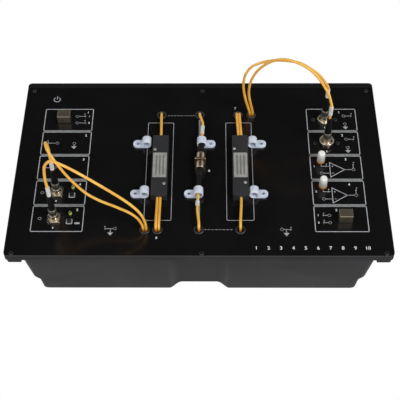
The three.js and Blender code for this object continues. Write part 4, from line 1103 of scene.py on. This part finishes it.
def smooth_route(points, spacing=1.5):
    """A centripetal spline: cubics through the points whose tangents are weighted by the square
    roots of the distances between them, with end points mirrored. Sampled evenly by length."""
    points = np.asarray(points, float)
    padded = np.vstack([2 * points[0] - points[1], points, 2 * points[-1] - points[-2]])
    gap = np.sqrt(np.linalg.norm(np.diff(padded, axis=0), axis=1))[:, None]
    a, b, c, d = padded[:-3], padded[1:-2], padded[2:-1], padded[3:]
    gap_0, gap_1, gap_2 = gap[:-2], gap[1:-1], gap[2:]
    out = ((b - a) / gap_0 - (c - a) / (gap_0 + gap_1) + (c - b) / gap_1) * gap_1
    into = ((c - b) / gap_1 - (d - b) / (gap_1 + gap_2) + (d - c) / gap_2) * gap_1
    square = -3 * b + 3 * c - 2 * out - into
    cube = 2 * b - 2 * c + out + into
    u = np.linspace(0, 1, 32, endpoint=False)[None, :, None]
    b, out, square, cube = (term[:, None, :] for term in (b, out, square, cube))
    curve = (b + out * u + square * u**2 + cube * u**3).reshape(-1, 3)
    curve = np.vstack([curve, points[-1]])
    length = np.concatenate([[0], np.cumsum(np.linalg.norm(np.diff(curve, axis=0), axis=1))])
    even = np.linspace(0, length[-1], int(length[-1] / spacing) + 1)
    return np.stack([np.interp(even, length, curve[:, axis]) for axis in range(3)], axis=1)


def tube(path, across, sides=16):
    """A round skin: every ring lies square to the path, and starts from the part of one fixed
    direction that is square to the path there."""
    ahead = np.gradient(path, axis=0)
    ahead /= np.linalg.norm(ahead, axis=1, keepdims=True)
    across = np.asarray(across, float)
    first = across - (ahead @ across)[:, None] * ahead
    first /= np.linalg.norm(first, axis=1, keepdims=True)
    second = np.cross(ahead, first)
    angle = np.linspace(0, 2 * math.pi, sides, endpoint=False)[None, :, None]
    out = np.cos(angle) * first[:, None] + np.sin(angle) * second[:, None]
    return skin(path[:, None] + fibre_radius * out)


def jacketed(node, path, across):
    """The jacket of one stretch of fibre."""
    skins = [tube(path, across)]
    name = f"{node}_jacket"
    return build(name, skins, fibre_jacket, slot="fibre_jacket", stands_for=[node], sharp=60)


source_1_route = [
    (-60.85, -93.6, 1.7), (-60.85, -93.6, 4.5), (-62.4, -92.8, 11.5), (-67, -91.2, 19.8),
    (-74.6, -89, 25.5), (-89, -85.2, 31), (-104.5, -81.4, 36), (-118.5, -77.6, 43),
    (-130, -73.6, 54), (-139.5, -69.8, 66), (-147, -66.4, 78), (-152.8, -63, 87.6),
    (-157.5, -57.5, 93.6), (-160, -50, 94.2), (-160.5, -43.8, 87), (-160, -41.4, 75.6),
    (-160, -41.5, 65), (-160, -41.5, 55.6),
]
source_2_route = [
    (-57.55, -93.6, 1.7), (-57.55, -93.6, 5), (-58.3, -93.2, 14), (-61.6, -92.4, 26),
    (-68.6, -91.2, 37.5), (-80, -89.3, 49.5), (-96, -87, 63.5), (-112, -84.7, 76.5),
    (-128, -82.2, 88.5), (-140, -80.2, 95.8), (-149.8, -78.6, 99.6), (-153.9, -77.9, 97.6),
    (-157.4, -77.6, 92.8), (-159.2, -77.6, 87.8), (-159.8, -77.7, 82.6), (-160.4, -77.8, 76.2),
    (-160.6, -77.9, 68.8), (-160.5, -78, 62), (-160, -78, 55.6),
]
detector_1_route = [
    (59.35, 75, 1.7), (59.35, 75, 4.5), (57.6, 75, 12), (54.4, 75, 25), (51.6, 75, 40),
    (50.6, 75, 55), (52.8, 75, 69.6), (59, 75, 81), (69.6, 74.6, 88), (83, 74, 92),
    (97, 72.8, 92.8), (110.7, 71.6, 91.2), (118.9, 71, 87.3), (125.2, 70.4, 82.7),
    (131.2, 69.8, 78), (136.4, 69.2, 72.7), (140.5, 68.6, 67.4), (143.6, 68.1, 62.4),
    (146, 67.7, 58.4), (147.4, 67.4, 55.2), (147.7, 67.4, 52.6),
]
detector_2_route = [
    (62.65, 75, 1.7), (62.65, 75, 5), (61.4, 75, 13), (58.8, 74.8, 26), (57.2, 74.4, 40),
    (58, 73.6, 54), (61.4, 72, 69), (67.8, 69, 84), (77, 65.2, 97), (88, 60.4, 107),
    (99, 55.4, 110.8), (108.2, 50.8, 110.8), (115.8, 47.4, 109), (121.8, 44.6, 106.1),
    (126.4, 42, 103.1), (131.1, 39.4, 98.6), (135, 37.2, 93.7), (139.6, 34.6, 86.7),
    (142.8, 33, 81.2), (144.8, 32, 75.5), (146.5, 31.2, 69.4), (147.4, 30.9, 65.6),
    (147.7, 30.9, 62.7),
]
plug_seats = [
    ("source", 1, (*source_place[0], panel_top)),
    ("source", 2, (*source_place[1], panel_top)),
    ("detector", 1, (*detector_place[0], panel_top + stem_lift[0])),
    ("detector", 2, (*detector_place[1], panel_top + stem_lift[1])),
]
plug_forms = [source_plug, source_plug, close_plug, spaced_plug]
free_routes = [source_1_route, source_2_route, detector_1_route, detector_2_route]
for (kind, index, seat), form, route in zip(plug_seats, plug_forms, free_routes):
    plug_pieces = build_plug(f"{kind}_plug_{index}", form, seat)
    path = smooth_route(route) + (0, 0, panel_top)
    span = path[-1] - path[0]
    across = (-span[1], span[0], 0)
    node = f"{kind}_fibre_{index}"
    fibre = jacketed(node, path, across)
    tuple(path[0] * mm)
    (path * mm).tolist()

# Coupling nuts
# Six knurled nickel nuts that turn freely on the plugs and screw onto the barrels. The two of
# the link are a little larger.
panel_nut_outer = 4.5
nut_low = 9.3
nut_high = 18.4
nut_bore = 3.6
nut_mouth = 3.1
nut_mouth_wall = 1.6
nut_flutes = 32
nut_flute_depth = 0.08
nut_steel = finish(
    "nut_steel", mottled("6E6A62", "827D73", 180, 4.0), ranging(0.3, 0.42, 420, 5.0),
    grained(0.00002, 900, 0.25), Metallic=1.0,
)


def nut_profile(outer):
    """The section of a nut: radius, height, and 1 where the knurled band lies."""
    return [
        (nut_bore, nut_low, 0), (outer - 0.3, nut_low, 0), (outer, nut_low + 0.3, 0),
        (outer, nut_low + 1.0, 0), (outer - 0.22, nut_low + 1.1, 0),
        (outer - 0.22, nut_low + 1.5, 0), (outer, nut_low + 1.6, 1), (outer, nut_high - 2.2, 1),
        (outer - 0.22, nut_high - 2.1, 0), (outer - 0.22, nut_high - 1.7, 0),
        (outer, nut_high - 1.6, 0), (outer, nut_high - 0.7, 0), (outer - 0.12, nut_high - 0.35, 0),
        (outer - 0.35, nut_high - 0.1, 0), (outer - 0.6, nut_high, 0), (nut_mouth, nut_high, 0),
        (nut_mouth, nut_high - nut_mouth_wall, 0), (nut_bore, nut_high - nut_mouth_wall, 0),
    ]


def coupling_nut(outer):
    """A closed lathed ring. On its knurled band the radius falls by the flute depth times half
    of one minus the cosine of the flutes times the angle."""
    rows = np.array(nut_profile(outer))
    points, faces = turned(rows[:, :2], 4 * nut_flutes, closed=True)
    ring = points.reshape(len(rows), -1, 3)
    angle = np.linspace(0, 2 * math.pi, ring.shape[1], endpoint=False)
    dip = nut_flute_depth * (1 - np.cos(nut_flutes * angle)) / 2
    scale = 1 - rows[:, 2:3] * dip[None, :] / rows[:, 0:1]
    ring[..., :2] *= scale[..., None]
    return ring.reshape(-1, 3), faces


def build_nut(node, outer, metal, place, axes=None):
    """A nut that turns on its own body."""
    nut = [moved(coupling_nut(outer), place, axes)]
    name = f"{node}_knurled"
    build(name, nut, metal, body=node_body[node], slot="nickel", stands_for=[node])


for kind, index, seat in plug_seats:
    build_nut(f"{kind}_nut_{index}", panel_nut_outer, nut_steel, seat)

# Link
# Across the middle lie two plugs, nose to nose in a nickel-plated adapter: a square plate with a
# threaded barrel on each side. The link lies a little askew on the panel.
link_x = 1.1
link_y = -2.0
link_turn = math.radians(-2.6)
link_height = 6.65
adapter_width = 12.7
adapter_corner = 1.5
adapter_half = 1.0
adapter_barrel = 7.4
plug_shift = -7.4
link_nut_outer = 5.1
link_boot = {"base": 3.7, "tip": 2.7}
link_back_plug = {**link_boot, "collar": 5.0, "rim": 4.4, "boot": 18.0, "gap": 7.2, "sleeve": 12.0}
link_front_plug = {**link_boot, "collar": 9.0, "rim": 5.2, "boot": 20.0, "gap": 16.3, "sleeve": 6.3}
link_middle = np.array([link_x, link_y, panel_top + link_height])
link_along = np.array([-math.sin(link_turn), math.cos(link_turn), 0])
tan_nickel = finish(
    "tan_nickel", mottled("A6967F", "B9A993", 180, 4.0), ranging(0.22, 0.38, 420, 5.0),
    grained(0.00002, 900, 0.25), Metallic=1.0,
)


def axes_along(direction):
    """Three axes of which the last points in a level direction and the second straight up."""
    up = np.array([0, 0, 1])
    return [np.cross(up, direction), up, direction]


plate = slab(rectangle(adapter_width, adapter_width, adapter_corner), -adapter_half, adapter_half)
half_barrel = [
    (pole, 0.5), (barrel_radius, 0.5), *threaded(adapter_half, adapter_barrel - 0.3),
    (barrel_radius - 0.3, adapter_barrel), (barrel_bore, adapter_barrel),
    (barrel_bore, adapter_half), (pole, adapter_half),
]
shapes = [moved(plate, link_middle, axes_along(link_along))]
for side in (1, -1):
    shapes.append(moved(turned(half_barrel), link_middle, axes_along(side * link_along)))
build("adapter_plate", shapes, tan_nickel, slot="nickel", stands_for=["link_adapter"], bevel=0.3)
for name, side, form in (("back", 1, link_back_plug), ("front", -1, link_front_plug)):
    place = link_middle + side * plug_shift * link_along
    axes = axes_along(side * link_along)
    build_plug(f"link_plug_{name}", form, place, axes)
    build_nut(f"link_nut_{name}", link_nut_outer, tan_nickel, place, axes)

# Couplers
# Two moulded boxes of dark plastic with ports for the fibres at their ends, a grey label with
# three columns of short dark dashes on each lid, and two small zinc-plated screws.
coupler_plastic = finish(
    "coupler_plastic", mottled("1F2023", "26272B", 90, 4.0), ranging(0.42, 0.6, 800),
    grained(0.00006, 1800, 0.4),
)
label_grey = finish(
    "label_grey", mottled("92928E", "A4A4A0", 110, 4.0), ranging(0.35, 0.5, 500),
    grained(0.00002, 900, 0.3),
)
label_ink = finish("label_ink", mottled("3A3A3C", "4A4A4C", 400), ranging(0.4, 0.6, 500))
label_width = 15.7
label_length = 36.0
label_middle_y = -9.8
label_corner = 0.8
label_lift = 0.15
coupler_screw_radius = 1.7
coupler_screw_height = 0.9
dash_columns = (-3.9, 0.0, 3.9)
dash_places = np.linspace(-13.5, 13.5, 17)
label_dash = (1.8, 0.9)
screw_zinc = finish(
    "screw_zinc", mottled("A8A8A4", "C0C0BC", 300), ranging(0.3, 0.45, 500),
    grained(0.00001, 1500, 0.3), Metallic=0.9,
)
coupler_boxes = [
    ("multiplexer_box", -44.9, [(-51.0, 13.0), (-39.3, -36.8)]),
    ("demultiplexer_box", 46.8, [(40.0, 14.1), (51.6, -35.2)]),
]
for node, x, screws in coupler_boxes:
    refined(node, f"{node}_case", coupler_plastic, bevel=0.6, segments=3)
    _, (_, _, lid) = ends_of(node)
    label = slab(rectangle(label_width, label_length, label_corner), 0, label_lift)
    label = [moved(label, (x, label_middle_y, lid))]
    build(f"{node}_label", label, label_grey, slot="coupler_plastic", bevel=0.05)
    dash = slab(rectangle(*label_dash), 0, print_lift)
    spots = [(x + column, label_middle_y + y) for column in dash_columns for y in dash_places]
    dashes = [moved(dash, (*spot, lid + label_lift)) for spot in spots]
    build(f"{node}_dashes", dashes, label_ink, slot="coupler_plastic")
    head = screw_head(coupler_screw_radius, coupler_screw_height)
    heads = [moved(head, (*place, lid)) for place in screws]
    build(f"{node}_screws", heads, screw_zinc, slot="nickel", sharp=40)

# Cable clips
# Six P-clips of white nylon: a strap bent round into a loop, with its two ends on each other
# and a screw hole through both. The tips are rounded.
nylon = finish(
    "nylon", mottled("D9DAE8", "ECECF7", 140, 4.0), ranging(0.38, 0.52, 500),
    grained(0.00004, 700, 0.3), Subsurface_Weight=0.2,
)
clip_outer = 5.4
strap = 1.2
clip_width = 10.0
clip_reach = 10.4
clip_tip = 16.0
clip_slit = 0.4
clip_hole = 2.0
clip_lift = 0.3
clip_round = 4.6
upper_tab_start = 3.4


def strap_loop():
    """A flat strap carried round a circle in the XZ plane: from below its middle, up the left
    side, over the top and down to where the upper tab leaves it."""
    radius = clip_outer - strap / 2
    leave = math.asin((strap * 1.5 + clip_slit - clip_outer) / radius)
    turn = np.linspace(-math.pi / 2, leave - 2 * math.pi, 56)
    section = rectangle(strap, clip_width, 0.35, 3)
    reach = radius + section[None, :, 0]
    x = reach * np.cos(turn)[:, None]
    z = clip_lift + clip_outer + reach * np.sin(turn)[:, None]
    y = np.broadcast_to(section[None, :, 1], x.shape)
    return skin(np.stack([x, y, z], axis=-1))


def tab(low, start):
    """A tab with a hole: four rings, the outline below and above, then the hole's edge above
    and below. Every point of the hole lies on the line from its middle to the outline."""
    straight = np.linspace(-clip_width / 2, clip_width / 2, 8)[::-1]
    left = np.stack([np.full(8, start), straight], axis=1)
    round_angle = np.linspace(-math.pi / 2, math.pi / 2, 24)
    nose_x = clip_tip - clip_round + clip_round * np.cos(round_angle)
    nose_y = (clip_width / 2) * np.sin(round_angle)
    outline = np.vstack([left, np.stack([nose_x, nose_y], axis=1)])
    away = outline - (clip_reach, 0)
    hole = (clip_reach, 0) + clip_hole * away / np.linalg.norm(away, axis=1, keepdims=True)
    rings = [(outline, low), (outline, low + strap), (hole, low + strap), (hole, low)]
    return stacked(rings, closed=True)


clip_axes = {1: [(1, 0, 0), (0, 1, 0), (0, 0, 1)], -1: [(-1, 0, 0), (0, -1, 0), (0, 0, 1)]}
for node in node_body:
    if not node.startswith("clip_"):
        continue
    low, high = ends_of(node)
    side = 1 if node == "clip_link_back" or "demultiplexer" in node else -1
    loop_x = low[0] + clip_outer if side > 0 else high[0] - clip_outer
    place = (loop_x, (low[1] + high[1]) / 2, panel_top)
    upper = clip_lift + strap + clip_slit
    shapes = [strap_loop(), tab(clip_lift, 0.0), tab(upper, upper_tab_start)]
    shapes = [moved(shape, place, clip_axes[side]) for shape in shapes]
    build(f"{node}_strap", shapes, nylon, slot="nylon", stands_for=[node], bevel=0.2)

# Knobs
# Two white knobs with a slot on top, each on its shaft over an orange collar, which set the
# bias of the comparators.
# The cap is one white plastic, painted greyer on its side and whiter on its dome: painted shade on
# the side and a painted highlight on top, where the light falls.
side_high = panel_top + 8.0
dome_low = panel_top + 16.5
shaded_knob_side = mottled("BEBCB6", "CBC9C3", 120, 4.0)
lit_knob_dome = mottled("ECECEA", "F4F4F2", 120, 4.0)
knob_white = finish(
    "knob_white", layered(side_high, dome_low, shaded_knob_side, lit_knob_dome), ranging(0.34, 0.48, 500),
    grained(0.00002, 900, 0.3),
)
collar_orange = finish(
    "collar_orange", mottled("C07624", "D08A36", 220, 4.0), ranging(0.4, 0.55, 500),
    grained(0.00002, 900, 0.3),
)
knob_x = 139.1
knob_rows = (2.8, -33.7)
knob_low = 3.7
knob_top = 17.0
slot_depth = 0.9
slot_half_width = 0.5
slot_reach = 2.0
slot_cut = (slot_depth, slot_half_width, slot_reach, knob_top - 0.3)
knob_profile = [
    (pole, knob_low), (4.25, knob_low), (4.45, knob_low + 0.3), (4.45, knob_top - 8.5),
    (4.25, knob_top - 5.0), (4.0, knob_top - 2.0), (3.82, knob_top - 1.1), (3.45, knob_top - 0.55),
    (2.9, knob_top - 0.2), (2.2, knob_top - 0.05),
    *((radius, knob_top) for radius in (1.6, 1.0, 0.5, 0.2, pole)),
]
collar_profile = [
    (pole, 0.1), (3.5, 0.1), (3.6, 0.5), (4.1, 1.1), (4.6, 1.9), (4.6, 3.1), (4.45, 3.8),
    (pole, 3.8),
]
shaft_profile = [(pole, -8.5), (1.5, -8.5), (1.5, 1.0), (pole, 1.0)]
for index, y in enumerate(knob_rows, 1):
    node = f"bias_knob_{index}"
    place = (knob_x, y, panel_top)
    body, slot = node_body[node], "knob_plastic"
    cap = [moved(sunk(turned(knob_profile, 64), *slot_cut, quarters=(0,)), place)]
    build(f"{node}_cap", cap, knob_white, body=body, slot=slot, stands_for=[node], sharp=50)
    shapes = [moved(turned(profile), place) for profile in (collar_profile, shaft_profile)]
    build(f"{node}_collar", shapes, collar_orange, body=body, slot=slot, sharp=50)

# Push buttons
# Two square black keys, each on a switch on the main board, in thin pale frames that cover the
# edges of their holes.
button_x = -142.7
button_rows = (-45.6, -82.1)
frame_outer = 7.1
frame_inner = 5.0
frame_height = 0.4
frame_outer_round = 1.6
frame_inner_round = 0.9
key_plastic = finish(
    "key_plastic", mottled("121213", "1A1A1B", 200), ranging(0.22, 0.35, 700),
    grained(0.00003, 900, 0.3),
)
outer = rectangle(frame_outer, frame_outer, frame_outer_round)
inner = rectangle(frame_inner, frame_inner, frame_inner_round)
rings = [(outer, 0), (outer, frame_height), (inner, frame_height), (inner, 0)]
for index, y in enumerate(button_rows, 1):
    node = f"push_button_{index}"
    refined(node, f"{node}_key", key_plastic, bevel=0.6, segments=3)
    bezel = moved(stacked(rings, closed=True), (button_x, y, panel_top))
    build(f"button_frame_{index}", [bezel], pale_print, slot="black_plastic", bevel=0.12)

# Held fibres
# Six stretches of fibre that leave the couplers, dive through the grommets and hang in slack
# loops under the panel, up to the free fibres and the link.
coupler_spread = 45.4
multiplexer_x = coupler_boxes[0][1]
demultiplexer_x = coupler_boxes[1][1]
grommet_back = 75.0
grommet_front = -93.6
source_grommet = -59.2
detector_grommet = 61.0
link_grommet = 0.0
coupler_middle = -9.3
coupler_end = 44.0
port_inset = 5.7
port_height = 5.0
lead_run = 6.0
crest_height = 5.8
bend_radius = 5.0
pair_spread = 1.65
slack_spread = 2.1
slack_depth = 58.0
slack_reach = 22.0
free_start = 1.7
lead_across = (0.7071, 0.7071, 0)


def port_run(x, side):
    """Two points: inside a coupler's port, and a short way out of it."""
    port_y = coupler_middle + side * coupler_end
    return [(x, port_y + side * away, port_height) for away in (-port_inset, lead_run)]


def bend_down(x, y, side):
    """A quarter circle from level to straight down in four points."""
    angle = np.linspace(0, math.pi / 2, 4)
    level = y + side * bend_radius * (1 - np.sin(angle))
    height = crest_height - bend_radius * (1 - np.cos(angle))
    return np.stack([np.full(4, x), level, height], axis=1)


def twist(x, y, lane):
    """Three points down a quarter turn of two fibres round each other, while they part."""
    part = np.linspace(0, 1, 3)
    angle = part * math.pi / 2
    spread = lane * (pair_spread + part * (slack_spread - pair_spread))
    depth = -slack_depth * np.array([0.12, 0.3, 0.46])
    return np.stack([x + spread * np.cos(angle), y + spread * np.sin(angle), depth], axis=1)


def pair_lead(box_x, coupler_x, grommet_x, grommet_y, side, lane):
    """From a port down one grommet, round a slack loop and up out of the next."""
    middle = (coupler_x + grommet_x) / 2
    turn = math.copysign(1, coupler_x - grommet_x)
    start_x = coupler_x + lane * pair_spread
    end_x = grommet_x + lane * pair_spread
    share = np.array([1, 0.72, 0, -0.72, -1])
    depth = np.array([0.6, 0.88, 1, 0.88, 0.6])
    lane_y = np.full(5, grommet_y + lane * slack_spread)
    slack = np.stack([middle + turn * slack_reach * share, lane_y, -slack_depth * depth], axis=1)
    start = port_run(box_x + lane * pair_spread, side)
    end = [(end_x, grommet_y, 0), (end_x, grommet_y, free_start)]
    down = twist(coupler_x, grommet_y, lane)
    up = twist(grommet_x, grommet_y, lane)[::-1]
    return np.vstack([start, bend_down(start_x, grommet_y, -side), down, slack, up, end])


def link_lead(box_x, coupler_x, side, plug_place):
    """From a coupler's single port down its grommet, under the panel and up to the link."""
    grommet_y = grommet_back if side > 0 else grommet_front
    share = np.array([0.93, 0.72, 0.5, 0.28, 0.07])
    depth = np.array([0.45, 0.68, 0.75, 0.68, 0.45])
    dip = np.stack([coupler_x * share, np.full(5, grommet_y), -slack_depth * depth], axis=1)
    end = [plug_place + (0, side * lead_run, 0), plug_place]
    up = bend_down(link_grommet, grommet_y, -side)[::-1]
    down = bend_down(coupler_x, grommet_y, -side)
    return np.vstack([port_run(box_x, side), down, dip, up, end])


link_origin = link_middle - (0, 0, panel_top)
back_end = link_origin + (plug_shift + plug_reach(link_back_plug) - 0.4) * link_along
front_end = link_origin - (plug_shift + plug_reach(link_front_plug) - 0.4) * link_along
pairs = [
    ("source", (multiplexer_x, -coupler_spread, source_grommet, grommet_front, -1)),
    ("detector", (demultiplexer_x, coupler_spread, detector_grommet, grommet_back, 1)),
]
held_fibres = {
    f"{kind}_lead_{index}": pair_lead(*run, lane)
    for kind, run in pairs
    for index, lane in ((1, -1), (2, 1))
}
held_fibres["link_lead_back"] = link_lead(multiplexer_x, -coupler_spread, 1, back_end)
held_fibres["link_lead_front"] = link_lead(demultiplexer_x, coupler_spread, -1, front_end)
for node, route in held_fibres.items():
    jacketed(node, smooth_route(route) + (0, 0, panel_top), lead_across)

# Test pins
# Fourteen thin test posts of plated brass with a ball on top. They are soldered to the board and
# stand up through the panel beside the printed rings.
pin_plate = finish(
    "pin_plate", mottled("9A9A96", "AEAEAA", 300), ranging(0.3, 0.45, 500),
    grained(0.00001, 1500, 0.3), Metallic=0.9,
)
pin_places = [
    (-136.7, 73.3), (-135.9, 62.9), (-176.6, 31.3), (-175.9, -5.7), (-102.5, -91.7),
    (100.2, -92.7), (179.6, 73.8), (179.5, 37.2), (144.9, -3.5), (176.0, -1.3),
    (144.9, -40.4), (176.1, -38.2), (137.0, -73.4), (136.9, -83.4),
]
pin_profile = [
    (pole, -1.0), (0.9, -1.0), (0.9, 0.35), (0.75, 0.5), (0.45, 0.6), (0.45, 3.4), (0.62, 3.55),
    (0.74, 3.8), (0.74, 4.1), (0.6, 4.35), (0.35, 4.5), (pole, 4.55),
]
pins = [moved(turned(pin_profile, 20), (x, y, panel_top)) for x, y in pin_places]
build("test_pins", pins, pin_plate, slot="nickel", sharp=50)
